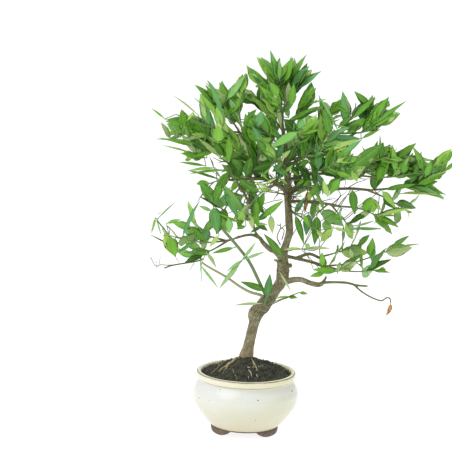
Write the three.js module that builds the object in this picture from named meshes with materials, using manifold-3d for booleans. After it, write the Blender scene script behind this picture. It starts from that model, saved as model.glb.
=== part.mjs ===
// A limequat bonsai: a small citrus tree in a round glazed pot with three feet.
// Millimetres, +Z up, the photographed side faces -Y, and the pot stands on z = 0.
// Every point below is measured from the pot's axis. At the end the whole plant is moved so that
// the middle of its box stands over the origin.

import * as THREE from 'three';
import { mergeVertices } from 'three/addons/utils/BufferGeometryUtils.js';
import Module from 'manifold-3d';

const wasm = await Module();
wasm.setup();

// Pot: outer wall from the glaze's lower edge up to the rim, then the inner wall down to the drain
// hole, each point as radius and height.
const POT_OUTSIDE = [
  [47.4, 8.8], [49.4, 10.8], [54.4, 15.6], [61.8, 25], [67.6, 32.8], [72.3, 40.6], [75, 48.6], [76, 56],
  [74.8, 63], [72, 69.6], [67.8, 76.2], [68.2, 78.6], [70.8, 79.8], [71.4, 83.6], [71, 87.6], [69, 88.8],
];
const POT_INSIDE = [[65.4, 87.8], [64.2, 81], [64.2, 74.6], [68.2, 60.5], [64.5, 41], [44.5, 19], [6, 18]];
const POT_BOTTOM = 8.8;
const DRAIN_RADIUS = 6;
const POT_SEGMENTS = 32;

// Feet: three broad lobes under the wall, a third of a turn apart, each level as height, how far its
// wall stands in and which share of the half angle it takes.
const FOOT_COUNT = 3;
const FOOT_TURN = -33;
const FOOT_HALF_ANGLE = 34;
const FOOT_OUTER = 49.4;
const FOOT_INNER = 36;
const FOOT_LEVELS = [[0, 2.2, 0.42], [1.2, 1, 0.58], [3.6, 0.4, 0.78], [7.4, 0, 0.95], [12, 0.3, 1]];

// Soil: a mound that rises from just under the rim to the foot of the trunk.
const SOIL_EDGE_HEIGHT = 84;
const SOIL_RISE = 21;
const SOIL_FLOOR = 19.4;
const SOIL_FLOOR_RADIUS = 40.5;
const SOIL_TOP_RADIUS = 63.5;
const SOIL_WALL_GAP = 0.6;
const SOIL_LUMPS = 1.1;
const SOIL_SEGMENTS = 24;
const SOIL_RINGS = 5;
// It is heaped up a little more in front of the trunk.
const SOIL_COLLAR = { height: 11, reach: 20, depth: 16 };
const SEAT_GAP = 0.35;

// The tree's tables are written as if it stood straight in the pot. It leans to the left about its
// foot, and the foot stands a little nearer and lower.
const TREE_FOOT = [0, 8, 98];
const TREE_LEAN = -1.67;
const TREE_MOVE = [-0.2, -1.5, -1.5];

// Trunk: its middle line with the radius at each point, and its foot in the soil.
const TRUNK = [
  [0, 8, 98, 10.6], [0, 8, 107, 10.3], [1.5, 7, 116, 9.2], [4, 6, 128, 7.8], [8, 4, 146, 7.4],
  [12, 2, 162, 7.6], [16, 0, 174, 9], [24, -2, 186, 10.4], [32, -3, 196, 9.4], [41, -3, 208, 7.6],
  [49, -2, 220, 8.3], [52, 0, 234, 8.9], [52, 2, 248, 8], [53, 4, 262, 6], [57, 4, 276, 5.2],
  [61, 2, 292, 5.3], [60, 0, 310, 5.4], [59, 0, 328, 5], [58, 1, 344, 5.2], [58, 2, 358, 5.2],
  [57, 3, 376, 4.2], [55, 2, 402, 3.4], [51, 1, 436, 2.6], [48, 0, 462, 2.1],
];
const TRUNK_FOOT = { x: -0.2, y: 6.5, radius: 11.6, bottom: 54, top: 104, sides: 10 };
const TRUNK_SIDES = 10;
const TRUNK_STEPS = 24;
const BARK_WOBBLE = 0.04;

// Roots that lie half sunk in the mound: their plan route and the radius at both ends.
const ROOTS = [
  [3.2, 1.3, [[-2, 6], [-9, 6], [-16, 4], [-23, -4], [-28, -10], [-33, -17], [-35, -24]]],
  [1.7, 0.9, [[-28, -10], [-31, -17], [-32, -31]]],
  [2.2, 0.9, [[3, 6], [8, -3], [10, -11], [12, -17], [15, -27]]],
  [3.4, 1.4, [[2, 10], [12, 17], [21, 20]]],
  [3, 1.4, [[-3, 11], [-12, 19], [-17, 27]]],
];

// Limbs and bare twigs: name, radius at the start and at the end, and the route.
const LIMBS = [
  ["old_knob", 5.4, 6.2, [[14, 0, 181], [9.5, -1, 176], [8, -1, 171], [8.5, 0, 166]]],
  ["left_limb", 5.0, 2.4, [[52, 2, 251], [42, -4, 264], [33, -8, 269], [24, -14, 278], [19, -18, 286],
    [9, -22, 291], [-3, -26, 291], [-15, -26, 287]]],
  ["left_whip", 2.2, 1.1, [[19, -18, 286], [11, -22, 299], [6, -24, 332], [-5, -24, 353], [-19, -22, 376],
    [-28, -20, 396]]],
  ["left_twig", 2.4, 2.0, [[-10, -26, 290], [-22, -28, 285], [-35, -28, 283]]],
  ["right_limb", 4.6, 3.2, [[52, 0, 221], [59, -4, 222], [69, -8, 225], [79, -12, 225], [90, -14, 221],
    [101, -16, 219], [108, -17, 221]]],
  ["right_twig", 2.1, 1.3, [[101, -16, 219], [113, -20, 223], [138, -26, 224], [155, -30, 221],
    [170, -32, 220]]],
  ["right_hook", 1.3, 0.9, [[150, -29, 222], [162, -32, 212], [176, -34, 204], [189, -35, 200],
    [196, -35, 204], [201, -35, 203], [202, -35, 197]]],
  ["right_stub", 1.9, 1.3, [[105, -17, 220], [111, -19, 228], [112, -21, 232]]],
  ["low_stub", 4.0, 3.0, [[52, 1, 242], [60, -3, 244], [64, -5, 245]]],
  ["mid_twig", 2.6, 2.1, [[55, 4, 257], [77, 10, 251], [94, 14, 246], [113, 16, 240]]],
  ["mid_fork", 2.6, 2.1, [[72, 9, 253], [90, 20, 257], [106, 26, 250]]],
  ["upright", 2.2, 1.8, [[58, 0, 335], [75, -8, 337], [96, -16, 336], [112, -20, 335], [130, -24, 332]]],
  ["right_bough", 2.3, 1.9, [[57, 2, 349], [76, 6, 355], [104, 8, 352], [147, 8, 353], [175, 6, 351]]],
  ["right_arm", 2.2, 1.8, [[57, 4, 366], [90, 4, 374], [132, 0, 375], [148, -2, 376]]],
  ["right_top", 2.8, 2.1, [[57, 2, 383], [84, 4, 402], [112, 4, 421], [134, 2, 435]]],
  ["left_bough", 3.0, 2.1, [[58, 2, 349], [46, 8, 359], [26, 12, 366], [5, 12, 366], [-15, 10, 365]]],
  ["upper_left", 3.0, 2.1, [[57, 2, 386], [30, 2, 401], [5, 0, 420], [-12, -2, 435]]],
  ["front_arm", 2.6, 2.1, [[58, -2, 341], [52, -22, 354], [41, -44, 368]]],
  ["back_arm", 2.8, 2.1, [[57, 4, 368], [51, 30, 380], [43, 52, 392]]],
  ["back_bough", 2.8, 2.1, [[59, 4, 343], [71, 30, 348], [87, 54, 354]]],
];
const LIMB_SIDES = 6;
const TWIG_SIDES = 4;
const THICK_LIMB = 4;

// Shoots: name, number of leaves, and the route from inside the wood to the growing tip.
const SHOOTS = [
  ["apex_top", 7, [[48, 0, 462], [46, 0, 481], [43, -2, 498], [39, -5, 512]]],
  ["apex_left", 7, [[48, 0, 460], [35, -10, 478], [23, -18, 494], [14, -26, 511]]],
  ["apex_right", 7, [[48, 0, 460], [59, 8, 479], [69, 13, 496], [79, 18, 513]]],
  ["apex_back", 4, [[49, 2, 450], [53, 24, 468], [56, 42, 483], [60, 54, 498]]],
  ["apex_front", 6, [[49, 0, 446], [50, -22, 460], [46, -44, 474], [40, -62, 485]]],
  ["apex_low_right", 6, [[51, 0, 434], [66, -6, 450], [82, -12, 466], [97, -16, 480]]],
  ["apex_low_left", 6, [[50, 2, 436], [36, 6, 455], [21, 10, 470], [9, 14, 482]]],
  ["north_west_tip", 7, [[-10, -2, 434], [-21, -4, 451], [-31, -8, 468], [-42, -10, 485]]],
  ["north_west_high", 7, [[-4, -2, 428], [-9, -12, 450], [-10, -18, 471], [-6, -22, 491]]],
  ["west_high", 7, [[-10, -2, 433], [-42, -16, 440], [-72, -26, 450], [-98, -32, 461]]],
  ["west_mid", 6, [[-8, 0, 430], [-40, 8, 428], [-70, 14, 428], [-99, 18, 431]]],
  ["west_low", 7, [[-1, 0, 424], [-29, 14, 412], [-55, 22, 403], [-79, 26, 394]]],
  ["north_west_back", 4, [[0, 0, 423], [-6, 26, 436], [-15, 48, 450], [-23, 68, 464]]],
  ["north_west_front", 7, [[-4, -1, 428], [-14, -28, 429], [-24, -52, 435], [-35, -74, 445]]],
  ["crown_front_left", 7, [[54, 1, 409], [40, -24, 422], [26, -46, 438], [13, -60, 452]]],
  ["crown_front_right", 7, [[55, 1, 401], [65, -28, 414], [72, -54, 430], [75, -76, 445]]],
  ["crown_front", 7, [[56, 2, 384], [50, -34, 392], [40, -64, 402], [30, -90, 414]]],
  ["crown_back_left", 4, [[48, 42, 384], [37, 58, 403], [29, 76, 420], [21, 94, 438]]],
  ["crown_back_right", 4, [[52, 28, 380], [69, 54, 398], [88, 78, 414], [108, 100, 426]]],
  ["crown_back", 4, [[45, 48, 390], [29, 66, 384], [9, 86, 384], [-9, 100, 388]]],
  ["east_top", 6, [[134, 2, 435], [144, -2, 451], [150, -5, 463], [152, -8, 475]]],
  ["east_top_far", 7, [[133, 2, 434], [156, 6, 447], [175, 8, 458], [194, 8, 469]]],
  ["east_top_low", 6, [[130, 2, 432], [156, -14, 434], [177, -24, 441], [195, -32, 451]]],
  ["east_top_near", 5, [[110, 4, 420], [111, 15, 437], [115, 24, 452], [120, 30, 466]]],
  ["east_high", 6, [[146, -2, 376], [166, -6, 387], [186, -11, 398], [205, -15, 408]]],
  ["east_high_far", 7, [[145, -2, 376], [182, 3, 379], [212, 5, 387], [240, 5, 398]]],
  ["east_tip", 7, [[140, -1, 375], [190, -9, 371], [230, -14, 377], [262, -18, 389]]],
  ["east_low", 7, [[174, 6, 351], [210, 9, 354], [241, 12, 359], [270, 15, 366]]],
  ["east_drop", 6, [[171, 6, 351], [194, 13, 341], [213, 20, 330], [229, 25, 319]]],
  ["east_drop_near", 6, [[129, -24, 332], [150, -29, 331], [166, -34, 327], [182, -39, 320]]],
  ["east_drop_low", 5, [[118, -21, 334], [128, -27, 322], [137, -33, 312], [143, -37, 302]]],
  ["east_back", 5, [[104, 8, 353], [138, 40, 362], [172, 62, 371], [204, 76, 381]]],
  ["east_front", 7, [[98, 8, 353], [122, -28, 365], [137, -56, 377], [148, -78, 388]]],
  ["inner_high", 6, [[58, 1, 392], [76, -16, 402], [91, -32, 412], [106, -44, 424]]],
  ["inner_right", 5, [[86, 4, 374], [96, -22, 380], [108, -44, 388], [122, -60, 398]]],
  ["inner_mid", 5, [[78, 6, 355], [88, -16, 360], [98, -34, 362], [112, -50, 362]]],
  ["inner_left", 5, [[30, 3, 401], [14, -18, 404], [-1, -36, 408], [-16, -50, 412]]],
  ["inner_low", 5, [[26, 12, 366], [22, -8, 380], [14, -26, 388], [2, -40, 392]]],
  ["centre_front", 6, [[60, 0, 322], [74, -24, 318], [86, -40, 311], [97, -52, 302]]],
  ["centre_back", 4, [[86, 52, 354], [97, 66, 336], [106, 75, 316], [116, 83, 298]]],
  ["south_east_high", 6, [[104, 25, 251], [124, 22, 257], [141, 14, 264], [157, 7, 271]]],
  ["south_east_tip", 7, [[112, 16, 240], [146, 8, 245], [177, 0, 256], [206, -8, 269]]],
  ["south_east_low", 5, [[109, 16, 241], [140, 20, 233], [165, 22, 231], [191, 22, 234]]],
  ["south_east_front", 6, [[94, 14, 246], [108, -8, 243], [121, -21, 242], [136, -33, 245]]],
  ["west_inner", 5, [[-12, 10, 365], [-28, 4, 366], [-41, -1, 365], [-54, -5, 361]]],
  ["west_hang", 6, [[1, 12, 366], [-15, -6, 349], [-29, -17, 330], [-42, -25, 310]]],
  ["west_hang_near", 6, [[42, -42, 367], [24, -50, 358], [8, -52, 342], [-3, -50, 322]]],
  ["west_hang_back", 5, [[8, 12, 367], [4, 34, 350], [-2, 49, 331], [-6, 59, 312]]],
  ["back_left", 4, [[44, 44, 389], [17, 62, 366], [-6, 78, 354], [-26, 92, 342]]],
  ["south_west_high", 6, [[-29, -28, 284], [-47, -23, 288], [-62, -19, 292], [-77, -17, 299]]],
  ["south_west_low", 6, [[-26, -28, 284], [-46, -22, 271], [-62, -16, 263], [-76, -12, 256]]],
  ["south_west_fine", 5, [[-22, -28, 285], [-54, -38, 283], [-83, -43, 287], [-108, -44, 294]]],
];
const SHOOT_SIDES = 3;
const SHOOT_STEPS = 4;
const SHOOT_RADIUS_ROOT = 1.5;
const SHOOT_RADIUS_TIP = 1.05;

// Single green shoots whose leaves were placed one by one: name, radii, length of bare wood at the
// root, route, and each leaf's place along the shoot, tip point and half width.
const PLACED = [
  ["cut_shoot", 2.5, 2.1, 14, [[34, -3, 197], [26, -14, 206], [6, -24, 249], [-9, -34, 272], [-34, -42, 303]],
    [[0.52, [29, -44, 276], 4.6]]],
  ["long_shoot", 2.0, 1.1, 15, [[30, -3, 193], [20, -16, 201], [6, -26, 206], [-9, -31, 215], [-29, -36, 231],
    [-52, -40, 245], [-62, -42, 252]],
    [[0.62, [14, -50, 273], 5.4], [0.56, [-37, -22, 205], 4.6], [0.93, [-42, -58, 235], 4.2],
      [1, [-84, -44, 262], 4.5], [0.86, [-74, -28, 240], 3.6]]],
  ["trunk_tuft", 1.6, 1.2, 14, [[27, -2, 189], [26, -13, 189], [25, -20, 190]],
    [[0.86, [-10, -34, 218], 4.4], [1, [33, -34, 233], 4.6], [0.7, [-20, -4, 183], 3.6]]],
  ["bright_leaf", 1.6, 1.2, 13, [[52, 2, 250], [44, -12, 252], [39, -19, 255]],
    [[1, [22, -34, 288], 7.2], [0.8, [66, -34, 204], 4.0]]],
];
const GREEN_GAP = 0.3;
const PLACED_LEAN = 0.8;
const PLACED_ARCH = 0.09;
const PLACED_STEPS = 7;
const PLACED_SEED = 900;

// Leaves that shape the outline, placed one by one on the shoots: each one's place along the shoot,
// tip point and half width.
const PLACED_LEAVES = {
  apex_top: [
    [0.74, [32, -8, 548], 5], [0.62, [15, 1, 538], 4.5], [0.83, [43, -14, 536], 3.5],
    [0.62, [65, 4, 538], 6.5], [0.92, [21, -5, 523], 3],
  ],
  apex_left: [[0.53, [0, -23, 526], 3.5]],
  apex_right: [[0.56, [104, 8, 518], 5.5]],
  apex_back: [[0.98, [86, 49, 541], 5], [0.86, [90, 54, 524], 7], [0.2, [62, 18, 502], 5]],
  apex_front: [[0.08, [18, -26, 500], 6.5]],
  apex_low_right: [[0.32, [96, -14, 497], 6.5], [0.17, [99, -4, 470], 4]],
  apex_low_left: [[0.08, [4, 1, 486], 6]],
  north_west_tip: [[0.74, [0, -14, 515], 4.5], [0.32, [-1, -3, 488], 7.5], [0.59, [-71, -18, 500], 5]],
  west_high: [[0.98, [-132, -37, 469], 1.5], [0.5, [-104, -22, 487], 2], [0.11, [-41, -26, 421], 9]],
  west_mid: [[0.86, [-113, 12, 445], 9], [0.23, [-57, 13, 468], 6.5]],
  west_low: [
    [0.83, [-132, 20, 422], 5], [0.98, [-122, 29, 413], 2], [0.86, [-97, 15, 389], 2.5],
    [0.29, [-78, 24, 426], 4.5],
  ],
  north_west_front: [[0.56, [-26, -57, 400], 7]],
  east_top: [[0.17, [100, -7, 486], 2], [0.08, [134, 1, 491], 6], [0.08, [179, -12, 483], 3.5]],
  east_top_far: [[0.53, [150, 3, 491], 5.5]],
  east_top_low: [
    [0.5, [196, -28, 486], 5], [0.59, [220, -22, 479], 2.5], [0.38, [209, -30, 465], 3.5],
    [0.11, [111, -7, 408], 3.5],
  ],
  east_high: [[0.32, [161, -13, 416], 2.5]],
  east_high_far: [[0.59, [238, 0, 418], 5.5]],
  east_tip: [[0.32, [201, -17, 417], 5], [0.8, [232, -13, 414], 8.5], [0.98, [284, -28, 410], 6]],
  east_low: [
    [0.98, [289, 10, 385], 3], [0.23, [272, 13, 363], 5], [0.23, [280, 0, 339], 4.5],
    [0.74, [286, 19, 343], 3],
  ],
  east_drop: [[0.08, [213, 8, 323], 6.5]],
  east_drop_near: [
    [0.98, [229, -44, 332], 4], [0.98, [215, -36, 320], 2], [0.86, [210, -47, 305], 4],
    [0.83, [171, -31, 347], 7],
  ],
  east_drop_low: [[0.98, [188, -42, 302], 2], [0.77, [175, -32, 328], 5]],
  east_back: [[0.86, [189, 67, 345], 9.5]],
  east_front: [[0.98, [184, -73, 426], 8.5], [0.32, [147, -39, 320], 6]],
  inner_right: [[0.98, [181, -64, 443], 5.5]],
  centre_front: [[0.98, [64, -57, 323], 4], [0.98, [96, -49, 324], 6.5], [0.8, [85, -57, 332], 5.5]],
  south_east_tip: [
    [0.95, [230, -12, 289], 5], [0.95, [249, -4, 276], 2], [0.53, [178, -10, 286], 6.5],
    [0.23, [149, 12, 267], 4.5],
  ],
  south_east_low: [
    [0.65, [209, 17, 250], 6], [0.74, [203, 25, 266], 6.5], [0.83, [206, 12, 231], 3],
    [0.59, [163, 28, 280], 2.5],
  ],
  south_east_front: [
    [0.8, [162, -33, 266], 4.5], [0.98, [155, -30, 253], 5.5], [0.26, [105, -23, 265], 4],
    [0.68, [95, -19, 240], 5],
  ],
  west_inner: [[0.38, [-84, -4, 380], 2.5], [0.47, [-44, 3, 334], 5.5], [0.89, [-71, -14, 362], 6.5]],
  west_hang: [[0.65, [-67, -24, 346], 4], [0.53, [-43, -13, 290], 9], [0.83, [-25, -32, 296], 5.5]],
  west_hang_near: [[0.98, [-33, -55, 367], 7], [0.08, [13, -46, 316], 6]],
  west_hang_back: [[0.08, [24, 27, 322], 4.5]],
  south_west_low: [[0.56, [-91, -21, 266], 3.5], [0.44, [-89, -15, 249], 6]],
  south_west_fine: [
    [0.68, [-64, -49, 345], 4], [0.17, [-77, -36, 305], 5.5], [0.98, [-99, -54, 265], 8.5],
    [0.35, [-98, -35, 267], 4],
  ],
};
// How far a placed leaf's tip may stray, aside and in depth, and how much its face may turn.
const TIP_STRAY = [8, 44];
const FACE_STRAY = 1.6;

// Leaves: lance-shaped blades with a raised fold along the midrib, longest near the shoot's middle.
const LEAF_LENGTH = [41, 52];
const LEAF_TIP_LENGTH = [30, 38];
const YOUNG_FROM = 0.8;
const LEAF_HALF_WIDTH = [0.175, 0.235];
const LEAF_KEEL = [1.1, 1.9];
const LEAF_ARCH = [6, 42];
const LEAF_WIDTH_AT_THIRD = 0.95;
const LEAF_WIDTH_AT_TWO_THIRDS = 0.82;
const PETIOLE_HALF_WIDTH = 1.1;
const PETIOLE_KEEL = 1.2;
const PETIOLE_END = 0.085;
const PETIOLE_SUNK = 0.4;
const LEAF_TURN = 144;
const LEAF_LIFT = 0.22;
const LEAF_SPREAD = [62, 34];
const LEAF_CLEARANCE = 2.2;
const SAME_SHOOT_CLEARANCE = 1.9;
const LEAF_TRIES = 90;
const SHOOT_SEED = 100;
const LEAF_PLACES = [0.1, 0.94];
const LAST_LEAF_PLACE = 0.985;

// How far a leaf may turn, spread and shrink from its ideal place, at the first try and the last.
const TURN_RANGE = [30, 330];
const LAST_LEAF_SPREAD = [12, 62];
const SPREAD_RANGE = 30;
const LEAF_SHRINK = [1, 0.75];
// What a blade's upper face turns to: the shoot's tip, the sky, out of the crown, and chance.
const FACING = { tip: 0.4, sky: 0.5, crown: 0.85, chance: 0.7 };
const CROWN_MIDDLE = [50, 0, 370];

// The dry leaf that hangs from the hooked twig.
const DRY_LEAF = { top: [202.1, -35, 196.2], middle: [201, -36, 190], tip: [196, -33, 178], halfWidth: 3.6 };

const DEG = Math.PI / 180;
const UP = new THREE.Vector3(0, 0, 1);
const DEPTH_AXIS = new THREE.Vector3(0, 1, 0);

// A seeded draw, so that every run grows the same tree.
function seededDraw(seed) {
  let state = seed >>> 0;
  return () => {
    state = (state + 0x6d2b79f5) >>> 0;
    let t = state;
    t = Math.imul(t ^ (t >>> 15), t | 1);
    t ^= t + Math.imul(t ^ (t >>> 7), t | 61);
    return ((t ^ (t >>> 14)) >>> 0) / 4294967296;
  };
}

const between = (range, share) => range[0] + (range[1] - range[0]) * share;
const vector = (p) => new THREE.Vector3(p[0], p[1], p[2]);

// A point of the tree's tables, leant and moved with the whole tree.
const treePoint = (p) => vector(p).sub(vector(TREE_FOOT))
  .applyAxisAngle(DEPTH_AXIS, TREE_LEAN * DEG)
  .add(vector(TREE_FOOT))
  .add(vector(TREE_MOVE));

// A closed solid from vertices and triangles, with its faces turned outwards.
function solid(points, triangles) {
  let volume = 0;
  for (const [a, b, c] of triangles) {
    volume += points[a].dot(new THREE.Vector3().crossVectors(points[b], points[c]));
  }
  const facing = volume < 0 ? triangles.map(([a, b, c]) => [a, c, b]) : triangles;
  const vertProperties = new Float32Array(points.flatMap((p) => [p.x, p.y, p.z]));
  const triVerts = new Uint32Array(facing.flat());
  return new wasm.Manifold(new wasm.Mesh({ numProp: 3, vertProperties, triVerts }));
}

// The same for a three.js geometry whose shared vertices are still apart.
function solidOf(geometry) {
  geometry.deleteAttribute('normal');
  geometry.deleteAttribute('uv');
  const merged = mergeVertices(geometry, 1e-3);
  const position = merged.attributes.position;
  const points = [];
  for (let i = 0; i < position.count; i++) points.push(new THREE.Vector3().fromBufferAttribute(position, i));
  const triangles = [];
  for (let i = 0; i < merged.index.count; i += 3) {
    const face = [merged.index.getX(i), merged.index.getX(i + 1), merged.index.getX(i + 2)];
    if (new Set(face).size === 3) triangles.push(face);
  }
  return solid(points, triangles);
}

// Rings of equal count joined into a skin, with a flat fan over each end.
function loft(rings) {
  const count = rings[0].length;
  const points = rings.flat();
  const triangles = [];
  for (let r = 0; r + 1 < rings.length; r++) {
    for (let i = 0; i < count; i++) {
      const a = r * count + i;
      const b = r * count + ((i + 1) % count);
      triangles.push([a, b, b + count], [a, b + count, a + count]);
    }
  }
  for (const start of [0, (rings.length - 1) * count]) {
    for (let i = 1; i + 1 < count; i++) {
      const fan = [start, start + i, start + i + 1];
      triangles.push(start === 0 ? fan.reverse() : fan);
    }
  }
  return solid(points, triangles);
}

// Directions along a line of points, and a side direction carried along it without twist.
function carriedFrames(points) {
  const along = points.map((p, i) => {
    const before = points[Math.max(i - 1, 0)];
    const after = points[Math.min(i + 1, points.length - 1)];
    return new THREE.Vector3().subVectors(after, before).normalize();
  });
  const start = Math.abs(along[0].z) > 0.9 ? new THREE.Vector3(1, 0, 0) : UP.clone();
  const sides = [];
  let side = start;
  for (const direction of along) {
    side = side.clone().addScaledVector(direction, -side.dot(direction)).normalize();
    sides.push(side);
  }
  return { along, sides };
}

// One ring of a round stem; wobble makes a woody stem a little out of round.
function ring(middle, direction, side, radius, count, wobble = 0) {
  const other = new THREE.Vector3().crossVectors(direction, side);
  return Array.from({ length: count }, (_, i) => {
    const angle = (i / count) * 2 * Math.PI;
    const lumps = Math.sin(3 * angle + middle.z * 0.09) + 0.6 * Math.sin(5 * angle - middle.z * 0.17);
    const r = radius * (1 + wobble * lumps);
    return middle.clone()
      .addScaledVector(side, Math.cos(angle) * r)
      .addScaledVector(other, Math.sin(angle) * r);
  });
}

function stem(points, radii, count, wobble = 0) {
  const { along, sides } = carriedFrames(points);
  return loft(points.map((p, i) => ring(p, along[i], sides[i], radii[i], count, wobble)));
}

// Points at equal steps of a smooth curve through the route.
function smoothRoute(route, steps, toPoint = treePoint) {
  const curve = new THREE.CatmullRomCurve3(route.map(toPoint), false, 'catmullrom', 0.5);
  return Array.from({ length: steps + 1 }, (_, i) => curve.getPoint(i / steps));
}

// Pot: a turned bowl with a drain hole, joined with its feet.
function makePot() {
  const drain = [DRAIN_RADIUS, POT_BOTTOM];
  const profile = [drain, ...POT_OUTSIDE, ...POT_INSIDE, drain];
  const turned = new THREE.LatheGeometry(profile.map(([r, z]) => new THREE.Vector2(r, z)), POT_SEGMENTS);
  let pot = solidOf(turned.rotateX(Math.PI / 2));
  const outline = footOutline();
  for (let k = 0; k < FOOT_COUNT; k++) {
    const turn = (FOOT_TURN + (k * 360) / FOOT_COUNT) * DEG;
    const levels = FOOT_LEVELS.map(([z, inset, spread]) => outline.map(([angle, r, lean]) => {
      const a = turn + angle * spread;
      const radius = r - lean * inset;
      return new THREE.Vector3(Math.cos(a) * radius, Math.sin(a) * radius, z);
    }));
    pot = pot.add(loft(levels));
  }
  return pot;
}

// A foot seen from above: angle from its middle, radius, and which way its wall leans in.
function footOutline() {
  const outer = [-0.82, -0.4, 0, 0.4, 0.82].map((s) => [s * FOOT_HALF_ANGLE * DEG, FOOT_OUTER, 1]);
  const inner = [0.78, 0, -0.78].map((s) => [s * FOOT_HALF_ANGLE * DEG, FOOT_INNER, -1]);
  const middle = (FOOT_OUTER + FOOT_INNER) / 2;
  const ends = [1, -1].map((s) => [s * FOOT_HALF_ANGLE * 1.06 * DEG, middle + 2, 0]);
  return [...outer, ends[0], ...inner, ends[1]];
}

// Height of the soil at a place, a mound with crumbly lumps.
function soilHeight(x, y) {
  const fromTrunk = Math.hypot(x - TRUNK_FOOT.x, y - TRUNK_FOOT.y);
  const fromAxis = Math.hypot(x, y);
  const toEdge = Math.max(0, SOIL_TOP_RADIUS - fromAxis);
  const share = fromTrunk / Math.max(fromTrunk + toEdge, 1);
  const lumps = Math.sin(0.33 * x + 1.3) * Math.sin(0.29 * y + 0.4) + 0.7 * Math.sin(0.55 * x - 0.41 * y);
  const calm = Math.min(1, (1 - share) * 6);
  const inFront = THREE.MathUtils.clamp(0.5 - (y - TRUNK_FOOT.y) / SOIL_COLLAR.depth, 0, 1);
  const collar = SOIL_COLLAR.height * Math.max(0, 1 - fromTrunk / SOIL_COLLAR.reach) * inFront;
  return SOIL_EDGE_HEIGHT + SOIL_RISE * (1 - share ** 1.25) + SOIL_LUMPS * lumps * calm + collar;
}

function rootRoute(route) {
  const inPlan = ([x, y]) => vector([x + TREE_MOVE[0], y + TREE_MOVE[1], 0]);
  const flat = smoothRoute(route, 4, inPlan);
  return flat.map((p) => new THREE.Vector3(p.x, p.y, soilHeight(p.x, p.y) + 0.3));
}

function rootSolid([start, end, route], extra) {
  const points = rootRoute(route);
  const radii = points.map((_, i) => between([start, end], i / (points.length - 1)) + extra);
  const first = points[1].clone().sub(points[0]).normalize();
  const last = points.at(-1).clone().sub(points.at(-2)).normalize();
  points[0].addScaledVector(first, -extra);
  points.at(-1).addScaledVector(last, extra);
  return stem(points, radii, 5);
}

// The trunk's foot is a plain peg, and the soil has a plain hole for it that opens upwards.
function footPeg(gap, top) {
  const { x, y, radius, bottom, sides } = TRUNK_FOOT;
  const points = [bottom - gap, top].map((z) => new THREE.Vector3(x, y, z));
  return stem(points, [radius + gap, radius + gap], sides);
}

function makeSoil() {
  const rings = [];
  const wall = POT_INSIDE.slice(1, -2).map(([r, z]) => [r - SOIL_WALL_GAP, z]);
  const circle = (radius, height) => Array.from({ length: SOIL_SEGMENTS }, (_, i) => {
    const a = (i / SOIL_SEGMENTS) * 2 * Math.PI;
    return new THREE.Vector3(Math.cos(a) * radius, Math.sin(a) * radius, height);
  });
  rings.push(circle(SOIL_FLOOR_RADIUS, SOIL_FLOOR));
  for (const [r, z] of wall.reverse()) rings.push(circle(r, z));
  for (let k = 0; k < SOIL_RINGS; k++) {
    const out = 1 - k / SOIL_RINGS;
    rings.push(Array.from({ length: SOIL_SEGMENTS }, (_, i) => {
      const a = (i / SOIL_SEGMENTS) * 2 * Math.PI;
      const x = TRUNK_FOOT.x * (1 - out) + Math.cos(a) * SOIL_TOP_RADIUS * out;
      const y = TRUNK_FOOT.y * (1 - out) + Math.sin(a) * SOIL_TOP_RADIUS * out;
      return new THREE.Vector3(x, y, soilHeight(x, y));
    }));
  }
  let soil = loft(rings).subtract(footPeg(SEAT_GAP, SOIL_EDGE_HEIGHT + 2 * SOIL_RISE));
  for (const root of ROOTS) soil = soil.subtract(rootSolid(root, SEAT_GAP));
  return largest(soil);
}

function largest(body) {
  return body.decompose().sort((a, b) => b.volume() - a.volume())[0];
}

// Wood: trunk, roots, limbs and the woody first part of each shoot, grown together.
const barriers = [];

function noteBarrier(points, radii, name) {
  for (let i = 0; i + 1 < points.length; i++) {
    const steps = Math.max(1, Math.ceil(points[i].distanceTo(points[i + 1]) / 2));
    for (let k = 0; k < steps; k++) {
      const share = k / steps;
      const place = points[i].clone().lerp(points[i + 1], share);
      barriers.push({ place, radius: between([radii[i], radii[i + 1]], share), name });
    }
  }
}

function woodyStem(points, radii, count, wobble) {
  noteBarrier(points, radii, 'trunk');
  return stem(points, radii, count, wobble);
}

// A shoot's line, split after its first step, where the wood ends and the green stem begins.
function splitShoot(points, radii) {
  const direction = new THREE.Vector3().subVectors(points[1], points[0]).normalize();
  const carried = carriedFrames(points).sides[1];
  const side = carried.clone().addScaledVector(direction, -carried.dot(direction)).normalize();
  const green = points.slice(1).map((p) => p.clone());
  green[0].addScaledVector(direction, GREEN_GAP);
  const wood = points.slice(0, 2);
  return { wood, woodRadii: radii.slice(0, 2), green, greenRadii: radii.slice(1), direction, side };
}

function shootLine([name, , route]) {
  const points = smoothRoute(route, SHOOT_STEPS);
  const radii = points.map((_, i) => between([SHOOT_RADIUS_ROOT, SHOOT_RADIUS_TIP], i / SHOOT_STEPS));
  return { name, ...splitShoot(points, radii) };
}

// The straight woody root of a shoot, with both ends square to it.
function woodenRoot({ wood, woodRadii, direction, side }) {
  return loft(wood.map((p, i) => ring(p, direction, side, woodRadii[i], SHOOT_SIDES)));
}

// The green stem, whose first ring faces the wood.
function greenStem({ green, greenRadii, direction, side }) {
  const { along, sides } = carriedFrames(green);
  return loft(green.map((p, i) => (
    ring(p, i ? along[i] : direction, i ? sides[i] : side, greenRadii[i], SHOOT_SIDES))));
}

// A single shoot's line: wood for its bare length, then the green stem in steps.
function placedLine([name, start, end, bare, route]) {
  const curve = new THREE.CatmullRomCurve3(route.map(treePoint), false, 'catmullrom', 0.5);
  const woodShare = bare / curve.getLength();
  const line = [curve.getPoint(0), curve.getPointAt(woodShare)];
  for (let i = 1; i <= PLACED_STEPS; i++) {
    line.push(curve.getPointAt(between([woodShare, 1], i / PLACED_STEPS)));
  }
  const radii = line.map((_, i) => between([start, end], i / (line.length - 1)));
  return { name, ...splitShoot(line, radii) };
}

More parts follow.
